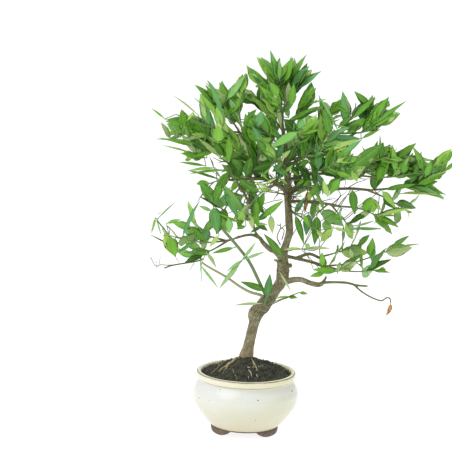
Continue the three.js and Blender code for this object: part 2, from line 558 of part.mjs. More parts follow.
const shootLines = SHOOTS.map(shootLine);
const placedLines = PLACED.map(placedLine);

function makeTrunk() {
  const line = smoothRoute(TRUNK, TRUNK_STEPS);
  const radii = line.map((_, i) => {
    const at = (i / TRUNK_STEPS) * (TRUNK.length - 1);
    const k = Math.min(Math.floor(at), TRUNK.length - 2);
    return between([TRUNK[k][3], TRUNK[k + 1][3]], at - k);
  });
  const pieces = [woodyStem(line, radii, TRUNK_SIDES, BARK_WOBBLE), footPeg(0, TRUNK_FOOT.top)];
  for (const [, start, end, route] of LIMBS) {
    const points = smoothRoute(route, Math.max(3, route.length - 1));
    const limbRadii = points.map((_, i) => between([start, end], i / (points.length - 1)));
    pieces.push(woodyStem(points, limbRadii, start > THICK_LIMB ? LIMB_SIDES : TWIG_SIDES, BARK_WOBBLE));
  }
  for (const root of ROOTS) pieces.push(rootSolid(root, 0));
  for (const line of [...shootLines, ...placedLines]) {
    noteBarrier(line.wood, line.woodRadii, 'trunk');
    pieces.push(woodenRoot(line));
  }
  return largest(wasm.Manifold.union(pieces));
}

// A blade's frame: its middle is a parabola from base to tip, sampled at thirds of its parameter,
// and the midrib stands out below it as a keel.
function blade(base, bend, tip, upward, halfWidth, keel) {
  const section = (t, width, depth) => {
    const middle = base.clone().multiplyScalar((1 - t) ** 2)
      .addScaledVector(bend, 2 * t * (1 - t))
      .addScaledVector(tip, t * t);
    const run = new THREE.Vector3().subVectors(bend, base).multiplyScalar(1 - t)
      .addScaledVector(tip, t)
      .addScaledVector(bend, -t)
      .normalize();
    const rise = upward.clone().addScaledVector(run, -upward.dot(run)).normalize();
    const across = new THREE.Vector3().crossVectors(run, rise);
    const below = (share) => middle.clone().addScaledVector(rise, -depth * share);
    const edge = (sign) => middle.clone().addScaledVector(across, sign * width);
    return { core: below(0.5), keel: below(1), left: edge(-1), right: edge(1) };
  };
  const lower = section(1 / 3, halfWidth * LEAF_WIDTH_AT_THIRD, keel);
  const upper = section(2 / 3, halfWidth * LEAF_WIDTH_AT_TWO_THIRDS, keel);
  const sections = [section(PETIOLE_END, PETIOLE_HALF_WIDTH, PETIOLE_KEEL), lower, upper];
  const start = new THREE.Vector3().subVectors(bend, base).normalize();
  const root = base.clone().addScaledVector(start, -PETIOLE_SUNK);
  const corners = [base, lower.left, lower.core, lower.right, upper.left, upper.core, upper.right, tip];
  const centre = lower.core.clone().add(upper.core).multiplyScalar(0.5);
  const reach = Math.max(...corners.map((p) => p.distanceTo(centre)));
  return { root, sections, tip, corners, centre, reach };
}

const SHEET = [[0, 1, 2], [0, 2, 3], [1, 2, 5], [1, 5, 4], [2, 3, 5], [3, 6, 5], [4, 5, 7], [5, 6, 7]];
const SEAMS = [[0, 1], [0, 2], [0, 3], [1, 2], [2, 3], [1, 4], [2, 5], [3, 6], [1, 5], [3, 5], [4, 5], [5, 6],
  [4, 7], [5, 7], [6, 7]];
const OUTER_SHEET = SHEET.slice(2);
const OUTER_SEAMS = SEAMS.slice(3);

// A blade as a closed solid: a flat upper face over the keel, down to sharp edges and a sharp tip.
function bladeSolid({ root, sections, tip }) {
  const points = [...sections.flatMap(({ left, right, keel }) => [left, right, keel]), tip, root];
  const triangles = [[0, 1, 10], [1, 2, 10], [2, 0, 10]];
  for (const start of [0, 3]) {
    for (const [a, b] of [[0, 1], [1, 2], [2, 0]]) {
      triangles.push([start + a, start + b + 3, start + b], [start + a, start + a + 3, start + b + 3]);
    }
  }
  triangles.push([6, 9, 7], [7, 9, 8], [8, 9, 6]);
  return solid(points, triangles);
}

// Least distance between two straight pieces of line.
function segmentDistance(a0, a1, b0, b1) {
  const u = new THREE.Vector3().subVectors(a1, a0);
  const v = new THREE.Vector3().subVectors(b1, b0);
  const w = new THREE.Vector3().subVectors(a0, b0);
  const uu = u.dot(u);
  const uv = u.dot(v);
  const vv = v.dot(v);
  const uw = u.dot(w);
  const vw = v.dot(w);
  const area = uu * vv - uv * uv;
  let s = area > 1e-9 ? THREE.MathUtils.clamp((uv * vw - vv * uw) / area, 0, 1) : 0;
  const t = THREE.MathUtils.clamp((uv * s + vw) / vv, 0, 1);
  s = THREE.MathUtils.clamp((uv * t - uw) / uu, 0, 1);
  return a0.clone().addScaledVector(u, s).distanceTo(b0.clone().addScaledVector(v, t));
}

const sharedTriangle = new THREE.Triangle();
const sharedPoint = new THREE.Vector3();
const sharedRay = new THREE.Ray();

function sheetDistance(corners, sheet, place) {
  let least = Infinity;
  for (const [a, b, c] of sheet) {
    sharedTriangle.set(corners[a], corners[b], corners[c]);
    sharedTriangle.closestPointToPoint(place, sharedPoint);
    least = Math.min(least, sharedPoint.distanceTo(place));
  }
  return least;
}

function pierces(from, seams, to, sheet) {
  for (const [a, b] of seams) {
    const length = from[a].distanceTo(from[b]);
    sharedRay.origin.copy(from[a]);
    sharedRay.direction.subVectors(from[b], from[a]).normalize();
    for (const [p, q, r] of sheet) {
      const hit = sharedRay.intersectTriangle(to[p], to[q], to[r], false, sharedPoint);
      if (hit && hit.distanceTo(from[a]) <= length) return true;
    }
  }
  return false;
}

// Whether two blades keep clear; blades of one shoot may meet at their bases.
function bladesClear(one, two, sameShoot) {
  const wanted = sameShoot ? SAME_SHOOT_CLEARANCE : LEAF_CLEARANCE;
  if (one.centre.distanceTo(two.centre) > one.reach + two.reach + wanted) return true;
  const seams = sameShoot ? OUTER_SEAMS : SEAMS;
  const points = (sheet) => sheet.corners.slice(sameShoot ? 1 : 0);
  if (pierces(one.corners, seams, two.corners, SHEET)) return false;
  if (pierces(two.corners, seams, one.corners, SHEET)) return false;
  if (points(one).some((p) => sheetDistance(two.corners, SHEET, p) < wanted)) return false;
  if (points(two).some((p) => sheetDistance(one.corners, SHEET, p) < wanted)) return false;
  for (const [a, b] of seams) {
    for (const [c, d] of seams) {
      const apart = segmentDistance(one.corners[a], one.corners[b], two.corners[c], two.corners[d]);
      if (apart < wanted) return false;
    }
  }
  return true;
}

const grownBlades = [];

function bladeClear(candidate, name) {
  for (const { place, radius, name: owner } of barriers) {
    const margin = radius + LEAF_KEEL[1] / 2 + 0.5;
    if (place.distanceTo(candidate.centre) > candidate.reach + margin) continue;
    const sheet = owner === name ? OUTER_SHEET : SHEET;
    if (sheetDistance(candidate.corners, sheet, place) < margin) return false;
  }
  return grownBlades.every((other) => bladesClear(candidate, other, other.name === name));
}

// The blade that a leaf tries to grow: it leaves the stem forwards and sideways, and arches over.
function wantedBlade(line, share, place, draw, attempt) {
  const { base, direction, side, terminal } = place;
  const loosen = attempt / LEAF_TRIES;
  const other = new THREE.Vector3().crossVectors(direction, side);
  const turn = (place.turn + (draw() - 0.5) * between(TURN_RANGE, loosen)) * DEG;
  const sideways = between(LEAF_SPREAD, share) + (draw() - 0.5) * SPREAD_RANGE;
  const spread = (terminal ? between(LAST_LEAF_SPREAD, loosen) : sideways) * DEG;
  const outward = side.clone().multiplyScalar(Math.cos(turn)).addScaledVector(other, Math.sin(turn));
  const start = direction.clone().multiplyScalar(Math.cos(spread)).addScaledVector(outward, Math.sin(spread));
  start.z += LEAF_LIFT;
  start.normalize();
  const light = direction.clone().multiplyScalar(FACING.tip)
    .addScaledVector(UP, FACING.sky)
    .addScaledVector(base.clone().sub(treePoint(CROWN_MIDDLE)).normalize(), FACING.crown)
    .addScaledVector(new THREE.Vector3(draw() - 0.5, draw() - 0.5, draw() - 0.5), FACING.chance);
  const upward = light.addScaledVector(start, -light.dot(start)).normalize();
  const fullLength = between(share > YOUNG_FROM ? LEAF_TIP_LENGTH : LEAF_LENGTH, draw());
  const length = fullLength * between(LEAF_SHRINK, loosen);
  const arch = between(LEAF_ARCH, draw()) * DEG;
  const bend = base.clone().addScaledVector(start, length * 0.5);
  const end = start.clone().multiplyScalar(Math.cos(arch)).addScaledVector(upward, -Math.sin(arch));
  const tip = bend.clone().addScaledVector(end, length * 0.5);
  const halfWidth = length * between(LEAF_HALF_WIDTH, draw());
  return blade(base, bend, tip, upward, halfWidth, between(LEAF_KEEL, draw()));
}

// The point, direction and side at a share of a stem's length.
function placeAlong(points, share) {
  const { along, sides } = carriedFrames(points);
  const at = share * (points.length - 1);
  const k = Math.min(Math.floor(at), points.length - 2);
  const part = at - k;
  const direction = along[k].clone().lerp(along[k + 1], part).normalize();
  const side = sides[k].clone().lerp(sides[k + 1], part);
  side.addScaledVector(direction, -side.dot(direction)).normalize();
  return { base: points[k].clone().lerp(points[k + 1], part), direction, side };
}

function grow(candidate, name) {
  grownBlades.push({ ...candidate, name });
  return bladeSolid(candidate);
}

function shootBlades(line, leafCount, tipLeaf, seed) {
  const draw = seededDraw(seed);
  const firstTurn = draw() * 360;
  const blades = [];
  for (let k = leafCount - 1; k >= 0; k--) {
    const terminal = tipLeaf && k === leafCount - 1;
    const share = terminal ? LAST_LEAF_PLACE : between(LEAF_PLACES, (k + 0.5) / leafCount);
    const place = { ...placeAlong(line.green, share), terminal, turn: firstTurn + k * LEAF_TURN };
    for (let attempt = 0; attempt < LEAF_TRIES; attempt++) {
      const candidate = wantedBlade(line, share, place, draw, attempt);
      if (!bladeClear(candidate, line.name)) continue;
      blades.push(grow(candidate, line.name));
      break;
    }
  }
  return blades;
}

// A blade to a given tip, which strays a little further at each try.
function placedBlade(line, [share, tipPoint, halfWidth], draw, attempt) {
  const loosen = attempt / LEAF_TRIES;
  const stray = (range) => (draw() - 0.5) * range * loosen;
  const { base } = placeAlong(line.green, Math.min(share, LAST_LEAF_PLACE));
  const tip = treePoint(tipPoint);
  tip.add(new THREE.Vector3(stray(TIP_STRAY[0]), stray(TIP_STRAY[1]), stray(TIP_STRAY[0])));
  const run = new THREE.Vector3().subVectors(tip, base);
  const level = new THREE.Vector3(draw() - 0.5 + stray(FACE_STRAY), -PLACED_LEAN, 1 + stray(FACE_STRAY));
  const upward = level.addScaledVector(run, -level.dot(run) / run.lengthSq()).normalize();
  const bend = base.clone().lerp(tip, 0.5).addScaledVector(upward, run.length() * PLACED_ARCH);
  return blade(base, bend, tip, upward, halfWidth, between(LEAF_KEEL, draw()));
}

function placedBlades(line, leaves, seed) {
  const draw = seededDraw(seed);
  const blades = [];
  for (const leaf of leaves) {
    for (let attempt = 0; attempt < LEAF_TRIES; attempt++) {
      const candidate = placedBlade(line, leaf, draw, attempt);
      if (!bladeClear(candidate, line.name)) continue;
      blades.push(grow(candidate, line.name));
      break;
    }
  }
  return blades;
}

function makeShoot(line, blades) {
  return largest(wasm.Manifold.union([greenStem(line), ...blades]));
}

function makeDryLeaf() {
  const [top, middle, tip] = [DRY_LEAF.top, DRY_LEAF.middle, DRY_LEAF.tip].map(treePoint);
  const facing = new THREE.Vector3(0.25, -1, 0.1);
  return bladeSolid(blade(top, middle, tip, facing, DRY_LEAF.halfWidth, LEAF_KEEL[1]));
}

// Finishes of the pieces, as colour, roughness and metalness.
const GLAZE = { color: '#e2dfcf', roughness: 0.22, metalness: 0 };
const EARTH = { color: '#2b221d', roughness: 0.95, metalness: 0 };
const BARK = { color: '#8a7d62', roughness: 0.85, metalness: 0 };
const DRY = { color: '#b98a4a', roughness: 0.8, metalness: 0 };
const GREENS = ['#3c7d26', '#4a8f2e', '#5da038', '#35701f'];
const leafFinish = (i) => ({ color: GREENS[i % GREENS.length], roughness: 0.4, metalness: 0 });

const plant = new THREE.Group();

function addPiece(name, body, finish) {
  const { vertProperties, triVerts, numProp } = body.getMesh();
  const geometry = new THREE.BufferGeometry();
  const positions = [];
  for (let i = 0; i < vertProperties.length; i += numProp) positions.push(...vertProperties.slice(i, i + 3));
  geometry.setAttribute('position', new THREE.Float32BufferAttribute(positions, 3));
  geometry.setIndex(Array.from(triVerts));
  geometry.computeVertexNormals();
  const mesh = new THREE.Mesh(geometry, new THREE.MeshStandardMaterial(finish));
  mesh.name = name;
  plant.add(mesh);
}

addPiece('pot', makePot(), GLAZE);
addPiece('soil', makeSoil(), EARTH);
addPiece('trunk', makeTrunk(), BARK);
for (const line of [...shootLines, ...placedLines]) noteBarrier(line.green, line.greenRadii, line.name);
placedLines.forEach((line, i) => {
  addPiece(line.name, makeShoot(line, placedBlades(line, PLACED[i][5], PLACED_SEED + i)), leafFinish(i));
});
const firstBlades = shootLines.map((line, i) => (
  placedBlades(line, PLACED_LEAVES[line.name] ?? [], SHOOT_SEED - i)));
shootLines.forEach((line, i) => {
  const placed = firstBlades[i];
  const more = shootBlades(line, SHOOTS[i][1] - placed.length, placed.length === 0, SHOOT_SEED + i);
  addPiece(line.name, makeShoot(line, [...placed, ...more]), leafFinish(i));
});
addPiece('dry_leaf', makeDryLeaf(), DRY);

const box = new THREE.Box3().setFromObject(plant);
plant.position.set(-(box.min.x + box.max.x) / 2, -(box.min.y + box.max.y) / 2, 0);

export default plant;
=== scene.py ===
import math
import random

import bmesh
import bpy
from mathutils import Matrix, Vector, kdtree, noise


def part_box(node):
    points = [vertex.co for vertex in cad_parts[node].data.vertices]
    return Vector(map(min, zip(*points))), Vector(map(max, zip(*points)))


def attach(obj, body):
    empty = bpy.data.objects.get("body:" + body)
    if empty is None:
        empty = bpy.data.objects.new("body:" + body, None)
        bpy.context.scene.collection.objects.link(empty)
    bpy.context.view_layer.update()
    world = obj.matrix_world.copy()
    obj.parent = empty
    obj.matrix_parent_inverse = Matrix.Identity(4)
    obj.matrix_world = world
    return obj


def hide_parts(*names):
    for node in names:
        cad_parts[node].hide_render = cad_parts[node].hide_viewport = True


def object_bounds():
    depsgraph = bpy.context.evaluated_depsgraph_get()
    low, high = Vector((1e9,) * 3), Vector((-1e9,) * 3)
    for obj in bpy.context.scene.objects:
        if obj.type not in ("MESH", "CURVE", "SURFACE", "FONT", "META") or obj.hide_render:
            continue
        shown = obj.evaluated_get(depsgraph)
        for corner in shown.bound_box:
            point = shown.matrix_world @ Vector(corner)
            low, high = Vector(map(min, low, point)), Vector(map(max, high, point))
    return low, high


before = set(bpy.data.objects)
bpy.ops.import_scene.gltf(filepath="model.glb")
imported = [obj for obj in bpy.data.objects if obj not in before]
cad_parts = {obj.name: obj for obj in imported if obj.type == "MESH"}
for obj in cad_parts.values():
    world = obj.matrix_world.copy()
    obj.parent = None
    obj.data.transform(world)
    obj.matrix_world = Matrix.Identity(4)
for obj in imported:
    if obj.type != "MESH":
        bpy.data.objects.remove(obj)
cad_low, cad_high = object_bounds()

# View
# The plant stands on a pale sweep under soft studio light and is seen from two metres away with a
# long lens. Every place below is in millimetres from the pot's axis: x right, y away, z up.
# Angles are in degrees. The stage's radius and the lights' widths are in metres.
MM = 0.001
VIEW_DISTANCE = 2000
CAMERA_ASIDE, CAMERA_HEIGHT = -35.2, 598.2
LOOKS_DOWN, ROLL = 8.541, 1.689
FILM_WIDTH, LENS, CLIP_END = 36, 113.54, 30
STAGE_RADIUS, STAGE_SIDES = 9, 96
FLOOR_GLOW, TENT_GLOW, SKY_GLOW = 0.86, 1.05, 0.75
LIGHT_TARGET = (0, 0, 300)
SOFT_LIGHTS = [
    # name, watts, width, place
    ("key", 15, 1.7, (-1150, -950, 1500)),
    ("fill", 2, 1.4, (1500, -900, 700)),
    ("back", 5, 1.2, (300, 1500, 1300)),
]
pot_low, pot_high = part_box("pot")
pot_axis = Vector(((pot_low.x + pot_high.x) / 2, (pot_low.y + pot_high.y) / 2, 0))


def at(x, y, z):
    """A place given in millimetres from the pot's axis, in the scene's metres."""
    return pot_axis + Vector((x, y, z)) * MM


def show(name, data):
    """A new object at the origin that holds this data."""
    made = bpy.data.objects.new(name, data)
    bpy.context.collection.objects.link(made)
    return made


def new_finish(name, roughness, **constants):
    """A material, its node tree and its shader, whose constants are set on the shader itself."""
    material = bpy.data.materials.new(name)
    material.use_nodes = True
    shader = material.node_tree.nodes["Principled BSDF"]
    shader.inputs["Roughness"].default_value = roughness
    for label, value in constants.items():
        shader.inputs[label.replace("_", " ")].default_value = value
    return material, material.node_tree, shader


camera_data = bpy.data.cameras.new("camera")
camera_data.sensor_width = FILM_WIDTH
camera_data.lens = LENS
camera_data.clip_end = CLIP_END
camera = show("camera", camera_data)
camera.location = at(CAMERA_ASIDE, -VIEW_DISTANCE, CAMERA_HEIGHT)
look_down = Matrix.Rotation(math.radians(90 - LOOKS_DOWN), 3, "X")
camera.rotation_euler = (look_down @ Matrix.Rotation(math.radians(ROLL), 3, "Z")).to_euler()
bpy.context.scene.camera = camera
bpy.context.scene.view_settings.view_transform = "Standard"

pale, _, _ = new_finish(
    "pale_floor", 0.9, Base_Color=(0.3, 0.3, 0.3, 1), Emission_Color=(1, 1, 1, 1),
    Emission_Strength=FLOOR_GLOW)
white, _, _ = new_finish(
    "white_tent", 1.0, Base_Color=(0, 0, 0, 1), Emission_Color=(1, 1, 1, 1), Emission_Strength=TENT_GLOW)
for name, finish in (("floor", pale), ("tent", white)):
    shape = bmesh.new()
    if name == "floor":
        bmesh.ops.create_circle(shape, cap_ends=True, segments=STAGE_SIDES, radius=STAGE_RADIUS)
    else:
        bmesh.ops.create_uvsphere(
            shape, u_segments=STAGE_SIDES, v_segments=STAGE_SIDES // 2, radius=STAGE_RADIUS)
        bmesh.ops.reverse_faces(shape, faces=shape.faces)
    mesh = bpy.data.meshes.new(name)
    shape.to_mesh(mesh)
    shape.free()
    mesh.materials.append(finish)
    show(name, mesh)
# The tent is only what shows behind the plant: the soft light passes it.
tent = bpy.data.objects["tent"]
tent.visible_diffuse = tent.visible_glossy = tent.visible_shadow = tent.visible_transmission = False

world = bpy.data.worlds.new("studio")
world.use_nodes = True
world.node_tree.nodes["Background"].inputs["Color"].default_value = (1, 1, 1, 1)
world.node_tree.nodes["Background"].inputs["Strength"].default_value = SKY_GLOW
bpy.context.scene.world = world

for name, watts, width, place in SOFT_LIGHTS:
    light = bpy.data.lights.new(name, "AREA")
    light.energy = watts
    light.shape = "DISK"
    light.size = width
    lamp = show(name, light)
    lamp.location = at(*place)
    lamp.rotation_euler = (at(*LIGHT_TARGET) - at(*place)).to_track_quat("-Z", "Y").to_euler()

# Bowl
# A squat round bowl of brown stoneware, thrown on a wheel, with a neck and a band rim. It is dipped
# in a thick white glaze that breaks to brown on the sharp edges. Its colour holds painted light and
# shade: lighter and cooler at the top, darker and creamier low down and on the right.
BOWL_OUTSIDE = [
    # radius and height, from the underside up to the rim and over it
    (45.6, 8.8), (47.4, 9), (48.8, 9.9), (50.6, 12), (54.4, 15.9), (58.1, 20.2), (61.8, 25), (67.6, 32.8),
    (72.3, 40.6), (75, 48.6), (76, 55.8), (75.9, 59.4), (74.8, 63.2), (72.2, 69.2), (69.8, 72.9),
    (68.2, 75.4), (67.7, 77.1), (68.2, 78.5), (69.8, 79.2), (70.8, 80.3), (71.3, 83.4), (71.2, 86.2),
    (70.6, 87.8), (69.3, 88.7), (67.7, 88.9), (66.2, 88.5), (65.1, 87.5), (64.5, 85.4), (64.2, 81),
]
BOWL_INSIDE = [(64.2, 74.6), (68.2, 60.5), (64.5, 41), (44.5, 19), (6, 18)]
DRAIN_EDGE = (6, 8.8)
BOWL_SIDES, PROFILE_STEPS = 160, 3
WHEEL_WOBBLE, WOBBLE_SCALE, WOBBLE_HEIGHT = 0.003, 1.7, 60
PINHOLES = [
    # place on the wall, and half width of the dark pit in the glaze
    ((65.4, -31.3, 68.4), 1.9), ((16.5, -72.4, 64.4), 1.3), ((-66.3, -37, 55.7), 1.3),
    ((-51.2, -55.7, 58), 0.9), ((-36.9, -58.1, 74.5), 0.8), ((14.1, -66.8, 33.9), 0.9),
    ((-70.3, -1, 87), 1.7), ((8, 75.6, 58), 1.3),
]
# In metres, as the finish reads them: where the rim's glaze begins and is full, from left to right
# where the glaze takes on painted shade, yellower and darker away from the light, and the heights
# up to which the clay is bare and above which the glaze covers it and then hides it.
RIM_FADE = (0.0765, 0.0790)
RIGHT_SHADE_FADE = (-0.05, 0.065)
BARE_BELOW, COVERED_ABOVE, HIDDEN_ABOVE = 0.0114, 0.0120, 0.0175
# The brown lines where the glaze is thin: round the lip, and round the foot of the band, where the
# line also paints the shadow under the band's edge.
LIP_RADIUS, LIP_HEIGHT = 0.0703, 0.0868
BAND_FOOT, NECK_RADIUS = 0.0793, 0.068
LINE_HALF, LINE_SOFT = 0.0003, 0.0006
RIM_CREAM, SPECK_TAN, PIT_BROWN = (0.80, 0.765, 0.60, 1), (0.55, 0.50, 0.38, 1), (0.05, 0.04, 0.028, 1)
BODY_RIGHT_SHADE, RIM_RIGHT_SHADE = (0.95, 0.955, 0.84, 1), (0.95, 0.97, 0.88, 1)
EDGE_BROWN_AND_SHADOW, FOOT_TAN = (0.17, 0.125, 0.07, 1), (0.62, 0.48, 0.27, 1)


def put(tree, kind, values=(), **settings):
    """A node with its settings, and its inputs set to values or linked to other nodes' outputs."""
    node = tree.nodes.new(kind)
    for name, value in settings.items():
        setattr(node, name, value)
    for key, value in dict(values).items():
        if isinstance(value, bpy.types.NodeSocket):
            tree.links.new(value, node.inputs[key])
        else:
            node.inputs[key].default_value = value
    return node


def catmull(points, steps):
    """Points at equal steps of a smooth curve through the given ones, each of any length."""
    first = [2 * a - b for a, b in zip(points[0], points[1])]
    last = [2 * a - b for a, b in zip(points[-1], points[-2])]
    rows = [first, *points, last]
    made = []
    for step in range(steps + 1):
        place = step / steps * (len(points) - 1)
        k = min(int(place), len(points) - 2)
        t = place - k
        corners = zip(rows[k], rows[k + 1], rows[k + 2], rows[k + 3])
        made.append([
            0.5 * (2 * b + (c - a) * t + (2 * a - 5 * b + 4 * c - d) * t**2 + (3 * b - a - 3 * c + d) * t**3)
            for a, b, c, d in corners])
    return made


def face_outwards(mesh, merged=None):
    """Turns all faces of a closed mesh outwards, once places nearer than merged are one."""
    shell = bmesh.new()
    shell.from_mesh(mesh)
    if merged:
        bmesh.ops.remove_doubles(shell, verts=shell.verts, dist=merged)
    bmesh.ops.recalc_face_normals(shell, faces=shell.faces)
    shell.to_mesh(mesh)
    shell.free()


def solid_mesh(name, places, faces, material):
    """A closed smooth mesh whose faces all point outwards."""
    mesh = bpy.data.meshes.new(name)
    mesh.from_pydata(places, [], faces)
    face_outwards(mesh)
    mesh.polygons.foreach_set("use_smooth", [True] * len(mesh.polygons))
    mesh.materials.append(material)
    return mesh


def round_place(radius, angle, z):
    """A place at a distance and an angle round the pot's axis."""
    return at(radius * math.cos(angle), radius * math.sin(angle), z)


def ring_faces(rings, around, start=0, closed=False):
    """The faces between rings of places, and between the last ring and the first if closed."""
    made = []
    for ring in range(rings if closed else rings - 1):
        low, high = start + ring * around, start + (ring + 1) % rings * around
        for k in range(around):
            j = (k + 1) % around
            made.append((low + k, low + j, high + j, high + k))
    return made


def colour_mix(tree, share, first, second, mode="MIX"):
    """Two colours mixed by a share."""
    node = put(tree, "ShaderNodeMix", {0: share, 6: first, 7: second}, data_type="RGBA", blend_type=mode)
    return node.outputs[2]


def colour_ramp(tree, share, *stops):
    """A colour for each share, between stops of place and colour."""
    node = put(tree, "ShaderNodeValToRGB", {0: share})
    elements = node.color_ramp.elements
    elements[0].position, elements[1].position = stops[0][0], stops[-1][0]
    elements[0].color, elements[1].color = (*stops[0][1], 1), (*stops[-1][1], 1)
    for place, colour in stops[1:-1]:
        elements.new(place).color = (*colour, 1)
    return node.outputs["Color"]


def sums(tree, operation, first, second=0.0, third=0.0):
    """What a sum makes of up to three numbers."""
    return put(tree, "ShaderNodeMath", {0: first, 1: second, 2: third}, operation=operation).outputs[0]


def times(tree, first, second):
    """The product of two numbers."""
    return sums(tree, "MULTIPLY", first, second)


def fade(tree, value, start, end, first, last):
    """Goes from first to last while the value goes from start to end, and is level beyond them."""
    values = {0: value, 1: start, 2: end, 3: first, 4: last}
    return put(tree, "ShaderNodeMapRange", values).outputs[0]


def band(tree, value, middle, half, soft):
    """1 where the value lies within half of the middle, fading over soft."""
    off = sums(tree, "ABSOLUTE", sums(tree, "SUBTRACT", value, middle))
    return fade(tree, off, half, half + soft, 1.0, 0.0)


def distance(tree, first, second=(0, 0, 0)):
    """How far one place is from another."""
    values = {0: first, 1: second}
    return put(tree, "ShaderNodeVectorMath", values, operation="DISTANCE").outputs["Value"]


def cells(tree, place, scale):
    """How far a place is from the middle of its random cell, of which a metre holds about scale."""
    values = {"Vector": place, "Scale": scale, "Randomness": 1.0}
    return put(tree, "ShaderNodeTexVoronoi", values).outputs["Distance"]


def noise_of(tree, place, scale, detail, roughness=0.5):
    """A soft random pattern, from 0 to 1, in features of about 1 / scale metres."""
    values = {"Vector": place, "Scale": scale, "Detail": detail, "Roughness": roughness}
    return put(tree, "ShaderNodeTexNoise", values).outputs[0]


def bump(tree, shader, height, distance, strength):
    """A relief on the finish, in metres of real depth."""
    values = {"Height": height, "Distance": distance, "Strength": strength}
    tree.links.new(put(tree, "ShaderNodeBump", values).outputs[0], shader.inputs["Normal"])


def pot_places(tree):
    """Object coordinates measured from the pot's axis, whole and as x, y and z."""
    place = put(tree, "ShaderNodeTexCoord").outputs["Object"]
    centred = put(tree, "ShaderNodeMapping", {"Vector": place, "Location": -pot_axis}).outputs[0]
    parts = put(tree, "ShaderNodeSeparateXYZ", {0: centred})
    return centred, parts.outputs


glaze, tree, shader = new_finish("white_glaze", 0.16, Coat_Weight=0.25, Coat_Roughness=0.12, IOR=1.5)
place, (px, py, pz) = pot_places(tree)
cloud = noise_of(tree, place, 26, 4)
height = sums(tree, "ADD", pz, sums(tree, "MULTIPLY_ADD", cloud, 0.024, -0.012))
# The places on this ramp are heights in tenths of a metre. The ramp paints light and shade: lighter
# and cooler high up, darker and creamier low down.
body = colour_ramp(
    tree, times(tree, height, 10),
    (0.10, (0.64, 0.60, 0.43)), (0.30, (0.67, 0.655, 0.51)), (0.48, (0.71, 0.715, 0.60)),
    (0.60, (0.74, 0.755, 0.70)), (0.72, (0.765, 0.78, 0.75)))
rim = fade(tree, pz, *RIM_FADE, 0.0, 1.0)
body = colour_mix(tree, rim, body, RIM_CREAM)
speck = fade(tree, cells(tree, place, 900.0), 0.1, 0.3, 0.22, 0.0)
body = colour_mix(tree, speck, body, SPECK_TAN)
pore = fade(tree, cells(tree, place, 62.0), 0.02, 0.045, 0.6, 0.0)
rare = sums(tree, "GREATER_THAN", noise_of(tree, place, 31, 1), 0.6)
pit = times(tree, pore, rare)
for spot, wide in PINHOLES:
    off = distance(tree, place, Vector(spot) * MM)
    pit = sums(tree, "MAXIMUM", pit, fade(tree, off, wide * MM * 0.5, wide * MM, 1.0, 0.0))
body = colour_mix(tree, times(tree, pit, 0.95), body, PIT_BROWN)
# Painted shade: the glaze, rim too, turns yellower and darker towards the right, away from the light.
right_shade = fade(tree, px, *RIGHT_SHADE_FADE, 0.0, 0.8)
body = colour_mix(tree, right_shade, body, BODY_RIGHT_SHADE, "MULTIPLY")
body = colour_mix(tree, times(tree, right_shade, rim), body, RIM_RIGHT_SHADE, "MULTIPLY")
from_axis = distance(tree, put(tree, "ShaderNodeCombineXYZ", {0: px, 1: py}).outputs[0])
ragged = sums(tree, "MULTIPLY_ADD", noise_of(tree, place, 110, 3), 0.0010, -0.0005)
lip_line = band(tree, sums(tree, "ADD", from_axis, ragged), LIP_RADIUS, LINE_HALF, LINE_SOFT)
lip_line = times(tree, lip_line, sums(tree, "GREATER_THAN", pz, LIP_HEIGHT))
# Painted shadow: the line under the band stands for the band's shadow as well as its thin glaze.
band_foot_and_shadow_line = band(tree, sums(tree, "ADD", pz, ragged), BAND_FOOT, LINE_HALF, LINE_SOFT)
band_foot_and_shadow_line = times(tree, band_foot_and_shadow_line, sums(tree, "GREATER_THAN", from_axis, NECK_RADIUS))
edge_and_shadow_line = sums(tree, "MAXIMUM", lip_line, band_foot_and_shadow_line)
body = colour_mix(tree, times(tree, edge_and_shadow_line, 0.88), body, EDGE_BROWN_AND_SHADOW)
glaze_foot = sums(tree, "ADD", pz, times(tree, ragged, 0.7))
bare = fade(tree, glaze_foot, BARE_BELOW, COVERED_ABOVE, 1.0, 0.0)
body = colour_mix(tree, fade(tree, glaze_foot, COVERED_ABOVE, HIDDEN_ABOVE, 0.5, 0.0), body, FOOT_TAN)
clay_colour = colour_ramp(
    tree, noise_of(tree, place, 240, 5), (0.3, (0.085, 0.062, 0.042)), (0.7, (0.16, 0.12, 0.085)))
tree.links.new(colour_mix(tree, bare, body, clay_colour), shader.inputs["Base Color"])
dull = sums(tree, "MULTIPLY_ADD", bare, 0.6, sums(tree, "MULTIPLY_ADD", cloud, 0.12, 0.2))
tree.links.new(sums(tree, "ADD", dull, times(tree, edge_and_shadow_line, 0.3)), shader.inputs["Roughness"])
relief = sums(tree, "SUBTRACT", noise_of(tree, place, 55, 2), times(tree, pit, 0.6))
bump(tree, shader, relief, 0.0005, 0.6)

outside = catmull(BOWL_OUTSIDE, PROFILE_STEPS * (len(BOWL_OUTSIDE) - 1))
profile = [DRAIN_EDGE, *outside, *BOWL_INSIDE]
places = []
for k in range(BOWL_SIDES):
    angle = k / BOWL_SIDES * math.tau
    for radius, z in profile:
        spot = Vector((math.cos(angle), math.sin(angle), z / WOBBLE_HEIGHT)) * WOBBLE_SCALE
        places.append(round_place(radius * (1 + WHEEL_WOBBLE * noise.noise(spot)), angle, z))
faces = ring_faces(BOWL_SIDES, len(profile), closed=True)
bowl = show("pot_bowl", solid_mesh("pot_bowl", places, faces, glaze))
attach(bowl, "root")
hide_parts("pot")

